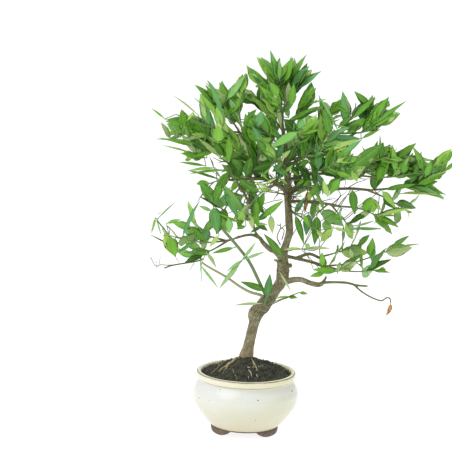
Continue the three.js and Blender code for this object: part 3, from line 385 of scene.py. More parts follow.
# Feet
# Three broad lobes of the same clay, pressed on under the bowl, a third of a turn apart. They are
# left bare of glaze, so they fire to a dull grey brown, and are rounded and narrower at the bottom.
FOOT_COUNT, FOOT_TURN, FOOT_HALF_ANGLE = 3, -33, 36
FOOT_INNER, FOOT_OUTER = 36, 49.4
FOOT_ROUNDNESS = 0.55
FOOT_LEVELS = [
    # height, how far the wall stands in, share of the half angle
    (0, 3.2, 0.38), (0.3, 2.3, 0.46), (1.2, 1.2, 0.58), (2.4, 0.7, 0.69), (3.8, 0.4, 0.79), (5.6, 0.2, 0.88),
    (7.4, 0.1, 0.95), (10.6, 0.3, 1.0),
]
FOOT_POINTS = 48

clay, tree, shader = new_finish("bare_clay", 0.75, IOR=1.45)
place, _ = pot_places(tree)
grain = noise_of(tree, place, 320, 6, 0.62)
tree.links.new(colour_ramp(
    tree, grain, (0.28, (0.075, 0.05, 0.036)), (0.52, (0.16, 0.115, 0.085)), (0.75, (0.27, 0.205, 0.155))),
    shader.inputs["Base Color"])
bump(tree, shader, grain, 0.0006, 0.7)


def squared(share):
    """A share of a circle's half width, moved out so that the circle is nearly a square."""
    return math.copysign(abs(share) ** FOOT_ROUNDNESS, share)


places, faces = [], []
for k in range(FOOT_COUNT):
    start = len(places)
    turn = math.radians(FOOT_TURN + 360 / FOOT_COUNT * k)
    for z, inset, spread in FOOT_LEVELS:
        for i in range(FOOT_POINTS):
            a = i / FOOT_POINTS * math.tau
            half = (FOOT_OUTER - FOOT_INNER) / 2 - inset
            radius = (FOOT_OUTER + FOOT_INNER) / 2 + squared(math.sin(a)) * half
            angle = turn + math.radians(FOOT_HALF_ANGLE) * squared(math.cos(a)) * spread
            places.append(round_place(radius, angle, z))
    faces += ring_faces(len(FOOT_LEVELS), FOOT_POINTS, start)
    faces.append(tuple(range(start, start + FOOT_POINTS)))
    faces.append(tuple(range(len(places) - FOOT_POINTS, len(places))))
feet = show("pot_feet", solid_mesh("pot_feet", places, faces, clay))
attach(feet, "root")
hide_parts("pot")

# Soil
# Dark peaty potting soil, pressed in by hand and heaped up round the trunk. Its skin is loose
# crumbs of all sizes that lie on the mound and against the inside of the rim.
SOIL_RADIUS, RIM_INSIDE = 63.8, 63.5
SOIL_UNDERSIDE_RADIUS, SOIL_UNDERSIDE_HEIGHT = 63.6, 77.5
SOIL_AROUND, SOIL_OUT = 200, 64
SOIL_EDGE_HEIGHT, SOIL_RISE, LUMP_HEIGHT = 84, 21, 1.1
COLLAR_HEIGHT, COLLAR_RADIUS, COLLAR_SOFT = 11, 20, 16
BANK_HEIGHT, BANK_WIDTH = 2.4, 70
TRUNK_FOOT = (-0.2, 6.5)
CRUMBS_PER_SQUARE_METRE, CRUMB_SEED = 230000.0, 4
SMALLEST_CRUMB, LARGEST_CRUMB = 0.0005, 0.0024
SAME_PLACE = 1e-5


def soil_height(x, y):
    """Height of the mound at a place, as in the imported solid."""
    from_trunk = math.hypot(x - TRUNK_FOOT[0], y - TRUNK_FOOT[1])
    to_edge = max(0, RIM_INSIDE - math.hypot(x, y))
    share = from_trunk / max(from_trunk + to_edge, 1)
    lumps = math.sin(0.33 * x + 1.3) * math.sin(0.29 * y + 0.4) + 0.7 * math.sin(0.55 * x - 0.41 * y)
    in_front = max(0, min(1, 0.5 - (y - TRUNK_FOOT[1]) / COLLAR_SOFT))
    collar = COLLAR_HEIGHT * max(0, 1 - from_trunk / COLLAR_RADIUS) * in_front
    mound = SOIL_EDGE_HEIGHT + SOIL_RISE * (1 - share**1.25)
    return mound + LUMP_HEIGHT * lumps * min(1, (1 - share) * 6) + collar


def new_tree(name, *inputs):
    """A geometry tree with a named input for each size, its input node and its output node."""
    tree = bpy.data.node_groups.new(name, "GeometryNodeTree")
    tree.interface.new_socket("Geometry", in_out="INPUT", socket_type="NodeSocketGeometry")
    tree.interface.new_socket("Geometry", in_out="OUTPUT", socket_type="NodeSocketGeometry")
    for label, kind in inputs:
        tree.interface.new_socket(label, in_out="INPUT", socket_type="NodeSocket" + kind)
    return tree, put(tree, "NodeGroupInput").outputs, put(tree, "NodeGroupOutput")


def grow(name, source, tree, **sizes):
    """A new piece whose plain mesh is what a tree makes of a source mesh."""
    holder = show(name + "_source", source)
    modifier = holder.modifiers.new("grow", "NODES")
    modifier.node_group = tree
    for item in tree.interface.items_tree:
        if item.item_type == "SOCKET" and item.in_out == "INPUT" and item.name in sizes:
            modifier[item.identifier] = sizes[item.name]
    graph = bpy.context.evaluated_depsgraph_get()
    mesh = bpy.data.meshes.new_from_object(
        holder.evaluated_get(graph), preserve_all_data_layers=True, depsgraph=graph)
    bpy.data.objects.remove(holder)
    mesh.name = name
    return show(name, mesh)


def vectors(tree, operation, *values):
    """One sum of vectors."""
    return put(tree, "ShaderNodeVectorMath", dict(enumerate(values)), operation=operation).outputs[0]


def scaled(tree, value, factor):
    """A vector times a number."""
    return put(tree, "ShaderNodeVectorMath", {0: value, "Scale": factor}, operation="SCALE").outputs[0]


def random_vector(tree, least, most, seed):
    """A vector for each point, drawn between two corners."""
    values = {0: least, 1: most, "Seed": seed}
    return put(tree, "FunctionNodeRandomValue", values, data_type="FLOAT_VECTOR").outputs[0]


def end_tree(tree, geometry, given, result):
    """The last nodes of a tree: its instances made real, in the given finish."""
    whole = put(tree, "GeometryNodeRealizeInstances", {"Geometry": geometry}).outputs[0]
    clad = put(tree, "GeometryNodeSetMaterial", {"Geometry": whole, "Material": given["Finish"]})
    tree.links.new(clad.outputs[0], result.inputs[0])


soil_finish, tree, shader = new_finish("potting_soil", 0.8, Specular_IOR_Level=0.35)
place, _ = pot_places(tree)
crumb_noise = noise_of(tree, place, 420, 6, 0.65)
shade = sums(tree, "MULTIPLY_ADD", noise_of(tree, place, 60, 3), 0.35, times(tree, crumb_noise, 0.75))
tree.links.new(colour_ramp(
    tree, shade, (0.32, (0.010, 0.011, 0.007)), (0.50, (0.038, 0.040, 0.028)), (0.64, (0.095, 0.095, 0.068)),
    (0.78, (0.27, 0.25, 0.17))), shader.inputs["Base Color"])
bump(tree, shader, crumb_noise, 0.0012, 1.0)

places = []
for i in range(SOIL_OUT + 1):
    out = i / SOIL_OUT
    for k in range(SOIL_AROUND):
        angle = k / SOIL_AROUND * math.tau
        x = math.cos(angle) * SOIL_RADIUS * out
        y = TRUNK_FOOT[1] * (1 - out) + math.sin(angle) * SOIL_RADIUS * out
        banked = BANK_HEIGHT * max(0, min(1, (x + y) / BANK_WIDTH)) * out
        rough = noise.fractal(Vector((x, y, 0)) * 0.16, 0.9, 2.1, 5)
        rough += 0.8 * max(0, noise.noise(Vector((x, y, 7)) * 0.42)) + banked
        places.append(at(x, y, soil_height(x, y) + rough * min(1, 4 * (1 - out) + 0.35)))
for k in range(SOIL_AROUND):
    places.append(round_place(SOIL_UNDERSIDE_RADIUS, k / SOIL_AROUND * math.tau, SOIL_UNDERSIDE_HEIGHT))
faces = ring_faces(SOIL_OUT + 2, SOIL_AROUND)
faces.append(tuple(range(len(places) - SOIL_AROUND, len(places))))
mound_mesh = solid_mesh("soil_mound", places, faces, soil_finish)
face_outwards(mound_mesh, SAME_PLACE)
mound = show("soil_mound", mound_mesh)

tree, given, result = new_tree(
    "soil_crumbs", ("Crumbs per square metre", "Float"), ("Smallest", "Float"), ("Largest", "Float"),
    ("Seed", "Int"), ("Finish", "Material"))
upward = put(tree, "ShaderNodeSeparateXYZ", {0: put(tree, "GeometryNodeInputNormal").outputs[0]}).outputs[2]
scatter = put(tree, "GeometryNodeDistributePointsOnFaces", {
    "Mesh": given["Geometry"], "Selection": sums(tree, "GREATER_THAN", upward, 0.3),
    "Density": given["Crumbs per square metre"], "Seed": given["Seed"]})
lump = put(tree, "GeometryNodeMeshIcoSphere", {"Radius": 1.0, "Subdivisions": 1}).outputs["Mesh"]
dent = put(tree, "ShaderNodeTexNoise", {"Scale": 1.1, "Detail": 1.0}).outputs["Color"]
dented = put(tree, "GeometryNodeSetPosition", {
    "Geometry": lump, "Offset": vectors(tree, "SUBTRACT", dent, (0.5, 0.5, 0.5))}).outputs[0]
size = put(tree, "FunctionNodeRandomValue", {2: 0.0, 3: 1.0, "Seed": given["Seed"]}).outputs[1]
size = fade(tree, sums(tree, "POWER", size, 2.6), 0.0, 1.0, given["Smallest"], given["Largest"])
stretch = random_vector(tree, (0.7, 0.7, 0.55), (1.3, 1.1, 0.9), 5)
turn = random_vector(tree, (0, 0, 0), (math.tau,) * 3, 9)
crumbs = put(tree, "GeometryNodeInstanceOnPoints", {
    "Points": scatter.outputs["Points"], "Instance": dented, "Scale": scaled(tree, stretch, size),
    "Rotation": put(tree, "FunctionNodeEulerToRotation", {0: turn}).outputs[0]}).outputs[0]
end_tree(tree, crumbs, given, result)
crumbs = grow("soil_crumbs", mound_mesh.copy(), tree, **{
    "Crumbs per square metre": CRUMBS_PER_SQUARE_METRE, "Smallest": SMALLEST_CRUMB,
    "Largest": LARGEST_CRUMB, "Seed": CRUMB_SEED, "Finish": soil_finish})
for piece in (mound, crumbs):
    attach(piece, "root")
    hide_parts("soil")

# Wood
# One woody body: the root flare, the roots that lie half sunk in the mound, the leaning trunk with
# its old pruning knobs, the limbs, and the woody foot of every leafy shoot. Bark is thin and dry,
# grey brown with fine lengthwise cracks on the trunk and olive on the young twigs.
TRUNK = [
    # x, y, z and radius
    (-1.5, 8, 92, 13.4), (-1, 8, 98, 12), (-0.4, 8, 107, 10.6), (1.5, 7, 116, 9.2), (4, 6, 128, 7.8),
    (8, 4, 146, 7.4), (12, 2, 162, 7.6), (16, 0, 174, 9), (24, -2, 186, 10.4), (32, -3, 196, 9.4),
    (41, -3, 208, 7.6), (49, -2, 220, 8.3), (52, 0, 234, 8.9), (52, 2, 248, 8), (53, 4, 262, 6),
    (57, 4, 276, 5.2), (61, 2, 292, 5.3), (60, 0, 310, 5.4), (59, 0, 328, 5), (58, 1, 344, 5.2),
    (58, 2, 358, 5.2), (57, 3, 376, 4.2), (55, 2, 402, 3.4), (51, 1, 436, 2.6), (48, 0, 462, 2.1),
]
ROOTS = [
    # radii, heights of the middle above the mound, and the route in plan
    (3.0, 0.8, 1.0, 0.8, [(-2, 6), (-9, 6), (-16, 4), (-23, -4), (-28, -10), (-34, -16), (-38, -23)]),
    (1.7, 0.7, 0.9, 0.4, [(-23, -4), (-28, -13), (-31, -21), (-33, -32)]),
    (1.7, 0.8, -1.8, 0.4, [(3, 6), (8, -3), (10, -11), (12, -17), (15, -27)]),
    (3.4, 1.4, 0.4, 0.2, [(2, 10), (12, 17), (21, 20)]),
    (3, 1.4, 0.4, 0.2, [(-3, 11), (-12, 19), (-17, 27)]),
]
LIMBS = [
    # radii at the start and at the end, and the route
    (6.6, 3.6, [(15, 0, 182), (9.5, -1, 177), (7.4, -1, 172), (8, 0, 166), (10, 2, 158), (11, 3, 150)]),
    (5.0, 2.6, [(52, 2, 251), (42, -4, 264), (33, -8, 269), (24, -14, 278), (19, -18, 286)]),
    (2.5, 1.4, [(19, -18, 286), (9, -22, 291), (-3, -26, 291), (-15, -26, 287)]),
    (1.6, 1.0, [(19, -18, 286), (11, -22, 299), (6, -24, 332), (-5, -24, 353), (-19, -22, 376),
                (-28, -20, 396)]),
    (1.4, 1.2, [(-10, -26, 290), (-22, -28, 285), (-35, -28, 283)]),
    (4.6, 3.2, [(52, 0, 221), (59, -4, 222), (69, -8, 225), (79, -12, 225), (90, -14, 221), (101, -16, 219),
                (108, -17, 221)]),
    (2.1, 1.3, [(101, -16, 219), (113, -20, 223), (138, -26, 224), (155, -30, 221), (170, -32, 220)]),
    (1.3, 0.9, [(150, -29, 222), (162, -32, 212), (176, -34, 204), (189, -35, 200), (196, -35, 204),
                (201, -35, 203), (202, -35, 197)]),
    (1.9, 1.3, [(105, -17, 220), (111, -19, 228), (112, -21, 232)]),
    (4.0, 3.0, [(52, 1, 242), (60, -3, 244), (64, -5, 245)]),
    (2.6, 2.1, [(55, 4, 257), (77, 10, 251), (94, 14, 246), (113, 16, 240)]),
    (2.6, 2.1, [(72, 9, 253), (90, 20, 257), (106, 26, 250)]),
    (2.2, 1.8, [(58, 0, 335), (75, -8, 337), (96, -16, 336), (112, -20, 335), (130, -24, 332)]),
    (2.3, 1.9, [(57, 2, 349), (76, 6, 355), (104, 8, 352), (147, 8, 353), (175, 6, 351)]),
    (2.2, 1.8, [(57, 4, 366), (90, 4, 374), (132, 0, 375), (148, -2, 376)]),
    (2.8, 2.1, [(57, 2, 383), (84, 4, 402), (112, 4, 421), (134, 2, 435)]),
    (3.0, 2.1, [(58, 2, 349), (46, 8, 359), (26, 12, 366), (5, 12, 366), (-15, 10, 365)]),
    (3.0, 2.1, [(57, 2, 386), (30, 2, 401), (5, 0, 420), (-12, -2, 435)]),
    (2.6, 2.1, [(58, -2, 341), (52, -22, 354), (41, -44, 368)]),
    (2.8, 2.1, [(57, 4, 368), (51, 30, 380), (43, 52, 392)]),
    (2.8, 2.1, [(59, 4, 343), (71, 30, 348), (87, 54, 354)]),
]
SHOOTS = {
    "apex_top": [(48, 0, 462), (46, 0, 481), (43, -2, 498), (39, -5, 512)],
    "apex_left": [(48, 0, 460), (35, -10, 478), (23, -18, 494), (14, -26, 511)],
    "apex_right": [(48, 0, 460), (59, 8, 479), (69, 13, 496), (79, 18, 513)],
    "apex_back": [(49, 2, 450), (53, 24, 468), (56, 42, 483), (60, 54, 498)],
    "apex_front": [(49, 0, 446), (50, -22, 460), (46, -44, 474), (40, -62, 485)],
    "apex_low_right": [(51, 0, 434), (66, -6, 450), (82, -12, 466), (97, -16, 480)],
    "apex_low_left": [(50, 2, 436), (36, 6, 455), (21, 10, 470), (9, 14, 482)],
    "north_west_tip": [(-10, -2, 434), (-21, -4, 451), (-31, -8, 468), (-42, -10, 485)],
    "north_west_high": [(-4, -2, 428), (-9, -12, 450), (-10, -18, 471), (-6, -22, 491)],
    "west_high": [(-10, -2, 433), (-42, -16, 440), (-72, -26, 450), (-98, -32, 461)],
    "west_mid": [(-8, 0, 430), (-40, 8, 428), (-70, 14, 428), (-99, 18, 431)],
    "west_low": [(-1, 0, 424), (-29, 14, 412), (-55, 22, 403), (-79, 26, 394)],
    "north_west_back": [(0, 0, 423), (-6, 26, 436), (-15, 48, 450), (-23, 68, 464)],
    "north_west_front": [(-4, -1, 428), (-14, -28, 429), (-24, -52, 435), (-35, -74, 445)],
    "crown_front_left": [(54, 1, 409), (40, -24, 422), (26, -46, 438), (13, -60, 452)],
    "crown_front_right": [(55, 1, 401), (65, -28, 414), (72, -54, 430), (75, -76, 445)],
    "crown_front": [(56, 2, 384), (50, -34, 392), (40, -64, 402), (30, -90, 414)],
    "crown_back_left": [(48, 42, 384), (37, 58, 403), (29, 76, 420), (21, 94, 438)],
    "crown_back_right": [(52, 28, 380), (69, 54, 398), (88, 78, 414), (108, 100, 426)],
    "crown_back": [(45, 48, 390), (29, 66, 384), (9, 86, 384), (-9, 100, 388)],
    "east_top": [(134, 2, 435), (144, -2, 451), (150, -5, 463), (152, -8, 475)],
    "east_top_far": [(133, 2, 434), (156, 6, 447), (175, 8, 458), (194, 8, 469)],
    "east_top_low": [(130, 2, 432), (156, -14, 434), (177, -24, 441), (195, -32, 451)],
    "east_top_near": [(110, 4, 420), (111, 15, 437), (115, 24, 452), (120, 30, 466)],
    "east_high": [(146, -2, 376), (166, -6, 387), (186, -11, 398), (205, -15, 408)],
    "east_high_far": [(145, -2, 376), (182, 3, 379), (212, 5, 387), (240, 5, 398)],
    "east_tip": [(140, -1, 375), (190, -9, 371), (230, -14, 377), (262, -18, 389)],
    "east_low": [(174, 6, 351), (210, 9, 354), (241, 12, 359), (270, 15, 366)],
    "east_drop": [(171, 6, 351), (194, 13, 341), (213, 20, 330), (229, 25, 319)],
    "east_drop_near": [(129, -24, 332), (150, -29, 331), (166, -34, 327), (182, -39, 320)],
    "east_drop_low": [(118, -21, 334), (128, -27, 322), (137, -33, 312), (143, -37, 302)],
    "east_back": [(104, 8, 353), (138, 40, 362), (172, 62, 371), (204, 76, 381)],
    "east_front": [(98, 8, 353), (122, -28, 365), (137, -56, 377), (148, -78, 388)],
    "inner_high": [(58, 1, 392), (76, -16, 402), (91, -32, 412), (106, -44, 424)],
    "inner_right": [(86, 4, 374), (96, -22, 380), (108, -44, 388), (122, -60, 398)],
    "inner_mid": [(78, 6, 355), (88, -16, 360), (98, -34, 362), (112, -50, 362)],
    "inner_left": [(30, 3, 401), (14, -18, 404), (-1, -36, 408), (-16, -50, 412)],
    "inner_low": [(26, 12, 366), (22, -8, 380), (14, -26, 388), (2, -40, 392)],
    "centre_front": [(60, 0, 322), (74, -24, 318), (86, -40, 311), (97, -52, 302)],
    "centre_back": [(86, 52, 354), (97, 66, 336), (106, 75, 316), (116, 83, 298)],
    "south_east_high": [(104, 25, 251), (124, 22, 257), (141, 14, 264), (157, 7, 271)],
    "south_east_tip": [(112, 16, 240), (146, 8, 245), (177, 0, 256), (206, -8, 269)],
    "south_east_low": [(109, 16, 241), (140, 20, 233), (165, 22, 231), (191, 22, 234)],
    "south_east_front": [(94, 14, 246), (108, -8, 243), (121, -21, 242), (136, -33, 245)],
    "west_inner": [(-12, 10, 365), (-28, 4, 366), (-41, -1, 365), (-54, -5, 361)],
    "west_hang": [(1, 12, 366), (-15, -6, 349), (-29, -17, 330), (-42, -25, 310)],
    "west_hang_near": [(42, -42, 367), (24, -50, 358), (8, -52, 342), (-3, -50, 322)],
    "west_hang_back": [(8, 12, 367), (4, 34, 350), (-2, 49, 331), (-6, 59, 312)],
    "back_left": [(44, 44, 389), (17, 62, 366), (-6, 78, 354), (-26, 92, 342)],
    "south_west_high": [(-29, -28, 284), (-47, -23, 288), (-62, -19, 292), (-77, -17, 299)],
    "south_west_low": [(-26, -28, 284), (-46, -22, 271), (-62, -16, 263), (-76, -12, 256)],
    "south_west_fine": [(-22, -28, 285), (-54, -38, 283), (-83, -43, 287), (-108, -44, 294)],
}
PLACED = {
    # the share of the route that is wood, the radii, and the route
    "cut_shoot": (
        0.10, 2.5, 2.1, [(34, -3, 197), (26, -14, 206), (6, -24, 249), (-9, -34, 272), (-34, -42, 303)]),
    "long_shoot": (
        0.13, 2.3, 1.4, [(30, -3, 195), (20, -16, 204), (6, -26, 210), (-9, -31, 219), (-29, -36, 234),
                         (-52, -40, 248), (-62, -42, 255)]),
    "trunk_tuft": (0.60, 1.6, 1.2, [(27, -2, 189), (26, -13, 189), (25, -20, 190)]),
    "bright_leaf": (0.60, 1.6, 1.2, [(52, 2, 250), (44, -12, 252), (39, -19, 255)]),
}
WOOD_SIDES = 20
TRUNK_STEPS, LIMB_STEPS, ROOT_STEPS, SHOOT_STEPS, PLACED_STEPS = 120, 8, 6, 16, 40
SHOOT_WOOD_STEPS, SHOOT_WOOD_RADII = 4, (1.5, 1.05)
# The routes are written as if the tree stood upright. This turns it about its foot into its lean.
UPRIGHT_FOOT, LEANT_FOOT, LEAN = Vector((0, 8, 98)), Vector((*TRUNK_FOOT, 96.5)), -1.67
ROOTS_ASIDE, ROOTS_AWAY = -0.2, -1.5
# In metres: the fused skin's voxels, the girths between which bark is young and old, the heights
# over which the foot's tan fades, and how near a point of the skin is to the limb that it takes its
# girth from, and to the root that makes it pale.
WOOD_VOXEL = 0.0008
YOUNG_GIRTH, OLD_GIRTH = 0.0016, 0.0042
TAN_FADE = (0.100, 0.135)
GIRTH_REACH, ROOT_REACH, ROOT_SOFT = 0.0135, 0.0045, 0.002
ROOTS_BELOW, ROOTS_BEFORE = 107, 5
# The knobs of old prunings, by their height and half height. They show where the wood's radius is
# more than this in metres.
KNOBS = [(180, 20), (236, 14)]
KNOB_GIRTH = 0.006
# How far cracks and lumps push the skin, as shares of the girth, up to a girth in metres.
CRACK_PUSH, LUMP_PUSH, MOST_PUSHED = 0.045, 0.06, 0.009


def mark(mesh, domain="POINT", **numbers):
    """Keeps lists of numbers on a mesh by name, with one number for each point or face."""
    for label, values in numbers.items():
        mesh.attributes.new(label, "FLOAT", domain).data.foreach_set("value", values)


def search_tree(places):
    """A tree that finds the nearest of these places and its number."""
    found = kdtree.KDTree(len(places))
    for number, place in enumerate(places):
        found.insert(place, number)
    found.balance()
    return found


def even(start, end, steps):
    """Numbers from start to end at equal steps."""
    return [start + (end - start) * i / steps for i in range(steps + 1)]


def line_mesh(name, lines):
    """Loose lines as one mesh, with the half thickness at every point."""
    mesh = bpy.data.meshes.new(name)
    places, edges, thick = [], [], []
    for points, radii in lines:
        start = len(places)
        places += [at(*p) for p in points]
        thick += [r * MM for r in radii]
        edges += [(start + i, start + i + 1) for i in range(len(points) - 1)]
    mesh.from_pydata(places, edges, [])
    mark(mesh, thick=thick)
    return mesh


def leant(p):
    """A place of the tree, written upright, where it stands in the tree's lean."""
    return LEANT_FOOT + Matrix.Rotation(math.radians(LEAN), 3, "Y") @ (Vector(p[:3]) - UPRIGHT_FOOT)


def tapered(route, steps, start, end):
    """A smooth line through a route of the tree, with its radius from start to end."""
    return [leant(p) for p in catmull(route, steps)], even(start, end, steps)


def kept(tree, name, kind="FLOAT"):
    """What a geometry tree reads from the mesh by name."""
    return put(tree, "GeometryNodeInputNamedAttribute", {"Name": name}, data_type=kind).outputs[0]


def fact(tree, name):
    """What a finish reads from the mesh by name."""
    return put(tree, "ShaderNodeAttribute", attribute_name=name).outputs["Fac"]


def round_tubes(tree, given):
    """Closed round tubes along the given lines, as thick as the mesh says."""
    lines = put(tree, "GeometryNodeMeshToCurve", {"Mesh": given["Geometry"]}).outputs[0]
    circle = put(tree, "GeometryNodeCurvePrimitiveCircle", {"Resolution": given["Sides"], "Radius": 1.0})
    return put(tree, "GeometryNodeCurveToMesh", {
        "Curve": lines, "Profile Curve": circle.outputs[0], "Scale": kept(tree, "thick"),
        "Fill Caps": True}).outputs[0]


stem_tree, given, result = new_tree("round_stems", ("Sides", "Int"), ("Finish", "Material"))
end_tree(stem_tree, round_tubes(stem_tree, given), given, result)

bark, tree, shader = new_finish("bark", 0.8, Specular_IOR_Level=0.3)
place, (_, _, pz) = pot_places(tree)
along_grain = put(tree, "ShaderNodeMapping", {"Vector": place, "Scale": (1, 1, 0.22)}).outputs[0]
streaks = noise_of(tree, along_grain, 700, 5, 0.6)
patches = noise_of(tree, place, 90, 4, 0.6)
shade = sums(tree, "MULTIPLY_ADD", streaks, 0.55, times(tree, patches, 0.5))
old_bark = colour_ramp(
    tree, shade, (0.34, (0.065, 0.055, 0.026)), (0.47, (0.17, 0.15, 0.08)), (0.58, (0.29, 0.265, 0.165)),
    (0.70, (0.50, 0.47, 0.34)))
young_bark = colour_ramp(tree, shade, (0.35, (0.075, 0.08, 0.028)), (0.7, (0.22, 0.23, 0.09)))
age = fade(tree, fact(tree, "girth"), YOUNG_GIRTH, OLD_GIRTH, 0.0, 1.0)
wood_colour = colour_mix(tree, age, young_bark, old_bark)
lichen = fade(tree, noise_of(tree, place, 210, 4, 0.7), 0.60, 0.70, 0.0, 0.5)
wood_colour = colour_mix(tree, lichen, wood_colour, (0.42, 0.42, 0.28, 1))
knob = fact(tree, "knob")
warts = cells(tree, place, 420.0)
pits = fade(tree, warts, 0.42, 0.62, 0.0, 0.85)
wood_colour = colour_mix(tree, times(tree, pits, knob), wood_colour, (0.085, 0.075, 0.035, 1))
warts = fade(tree, warts, 0.14, 0.30, 0.8, 0.0)
wood_colour = colour_mix(tree, times(tree, warts, knob), wood_colour, (0.50, 0.48, 0.29, 1))
mottled = fade(tree, noise_of(tree, place, 330, 4, 0.65), 0.42, 0.56, 0.15, 0.85)
root_colour = colour_mix(tree, mottled, (0.13, 0.115, 0.05, 1), (0.60, 0.54, 0.27, 1))
wood_colour = colour_mix(tree, times(tree, fact(tree, "root"), 0.85), wood_colour, root_colour)
tanned = fade(tree, pz, *TAN_FADE, 0.4, 0.0)
wood_colour = colour_mix(tree, times(tree, tanned, streaks), wood_colour, (0.62, 0.40, 0.20, 1))
tree.links.new(wood_colour, shader.inputs["Base Color"])
bump(tree, shader, streaks, 0.0007, 0.9)

trunk_line = catmull(TRUNK, TRUNK_STEPS)
wood_lines = [([leant(p) for p in trunk_line], [p[3] for p in trunk_line])]
wood_lines += [tapered(route, LIMB_STEPS * (len(route) - 1), start, end) for start, end, route in LIMBS]
root_lines = []
for start, end, low, high, route in ROOTS:
    steps = ROOT_STEPS * (len(route) - 1)
    spots = []
    for i, (x, y) in enumerate(catmull(route, steps)):
        x, y = x + ROOTS_ASIDE, y + ROOTS_AWAY
        spots.append((x, y, soil_height(x, y) + low + (high - low) * i / steps))
    root_lines.append((spots, even(start, end, steps)))
wood_lines += root_lines
for route in SHOOTS.values():
    points, radii = tapered(route, SHOOT_STEPS, *SHOOT_WOOD_RADII)
    wood_lines.append((points[:SHOOT_WOOD_STEPS + 1], radii[:SHOOT_WOOD_STEPS + 1]))
for share, start, end, route in PLACED.values():
    points, radii = tapered(route, PLACED_STEPS, start, end)
    last = round(share * PLACED_STEPS) + 1
    wood_lines.append((points[:last], radii[:last]))

tubes = grow("wood_tubes", line_mesh("wood_lines", wood_lines), stem_tree, Sides=WOOD_SIDES, Finish=bark)
remesh = tubes.modifiers.new("fuse", "REMESH")
remesh.mode = "VOXEL"
remesh.voxel_size = WOOD_VOXEL
remesh.use_smooth_shade = True
graph = bpy.context.evaluated_depsgraph_get()
wood_mesh = bpy.data.meshes.new_from_object(tubes.evaluated_get(graph))
bpy.data.objects.remove(tubes)
near = search_tree([at(*p) for points, _ in wood_lines for p in points])
girths = [r * MM for _, radii in wood_lines for r in radii]
root_near = search_tree([at(*p) for points, _ in root_lines for p in points])
girth, root_share, knobs, moved = [], [], [], []
normals = [n.vector.copy() for n in wood_mesh.vertex_normals]
for vertex, normal in zip(wood_mesh.vertices, normals):
    p = (vertex.co - pot_axis) / MM
    lines_near = near.find_range(vertex.co, GIRTH_REACH) or [near.find(vertex.co)]
    g = min((abs(off - girths[i]), girths[i]) for _, i, off in lines_near)[1]
    girth.append(g)
    pale_root = max(0.0, min(1.0, (ROOT_REACH - root_near.find(vertex.co)[2]) / ROOT_SOFT))
    root_share.append(pale_root if p.z < ROOTS_BELOW and p.y < ROOTS_BEFORE else 0.0)
    crack = noise.fractal(Vector((p.x, p.y, p.z * 0.35)) * 0.5, 0.8, 2.2, 4)
    lump = noise.noise(p * 0.11)
    knob = sum(max(0.0, 1 - abs(p.z - middle) / half) for middle, half in KNOBS)
    warts = 0.09 * noise.noise(p * 0.2 + Vector((9, 3, 1))) + 0.12 * noise.noise(p * 0.55)
    push = min(g, MOST_PUSHED) * (CRACK_PUSH * crack + LUMP_PUSH * lump + knob * warts)
    knobs.append(min(1.0, knob) if g > KNOB_GIRTH else 0.0)
    moved.extend(vertex.co + normal * push)
wood_mesh.vertices.foreach_set("co", moved)
mark(wood_mesh, girth=girth, root=root_share, knob=knobs)
wood_mesh.materials.clear()
wood_mesh.materials.append(bark)
wood_mesh.polygons.foreach_set("use_smooth", [True] * len(wood_mesh.polygons))
wood = show("wood", wood_mesh)
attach(wood, "root")
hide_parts("trunk")

# Rootlets
# Pale young roots, straws and chips that lie on the mound or stick out of it where it was watered
# away, thin as thread and dry.
ROOTLETS = [
    # radius, height above the mound at both ends, and the route in plan
    (0.42, 1.0, 3.5, [(-50, -25), (-31, 10)]),
    (0.36, 1.8, 0.5, [(-20, -27), (-17.5, -39), (-13, -52)]),
    (0.8, 1.6, 0.6, [(9, -10), (12.5, -17), (15.5, -30)]),
    (0.4, 1.2, 1.2, [(16, -19), (24, -8)]),
    (0.95, 1.2, 0.8, [(3, -32), (6, -38), (7, -46)]),
    (0.8, 0.8, 0.6, [(14, -39), (15.5, -46)]),
    (0.5, 0.6, 0.6, [(2.5, -46), (3.5, -51)]),
    (1.1, 0.7, 0.7, [(1.5, -23.5), (5.5, -24)]),
    (1.5, 1.3, 1.3, [(8.6, -26), (9.6, -26.2)]),
    (0.6, 0.6, 0.8, [(-41, 1), (-38.5, 2)]),
    (0.5, 0.3, 6, [(44, 20), (43, 21)]),
    (0.5, 0.7, 0.7, [(-44, 14), (-36, 20), (-30, 29)]),
    (0.6, 0.9, 0.7, [(12, 34), (20, 40), (22, 48)]),
]
ROOTLET_SIDES, ROOTLET_STEPS, ROOTLET_TAPER = 7, 12, 0.45
root_skin, tree, shader = new_finish("root_skin", 0.7, Specular_IOR_Level=0.3)
place, _ = pot_places(tree)
root_grain = noise_of(tree, place, 500, 4)
tree.links.new(colour_ramp(
    tree, root_grain, (0.32, (0.33, 0.27, 0.13)), (0.5, (0.56, 0.49, 0.28)), (0.7, (0.78, 0.72, 0.52))),
    shader.inputs["Base Color"])
bump(tree, shader, root_grain, 0.0003, 0.6)
rootlets = []
for radius, lift, last_lift, route in ROOTLETS:
    lifts = even(lift, last_lift, len(route) - 1)
    spots = [(x, y, soil_height(x, y) + radius + up) for (x, y), up in zip(route, lifts)]
    radii = even(radius, radius * (1 - ROOTLET_TAPER), ROOTLET_STEPS)
    rootlets.append((catmull(spots, ROOTLET_STEPS), radii))
threads = grow(
    "rootlets", line_mesh("rootlet_lines", rootlets), stem_tree, Sides=ROOTLET_SIDES, Finish=root_skin)
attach(threads, "root")
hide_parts("trunk")

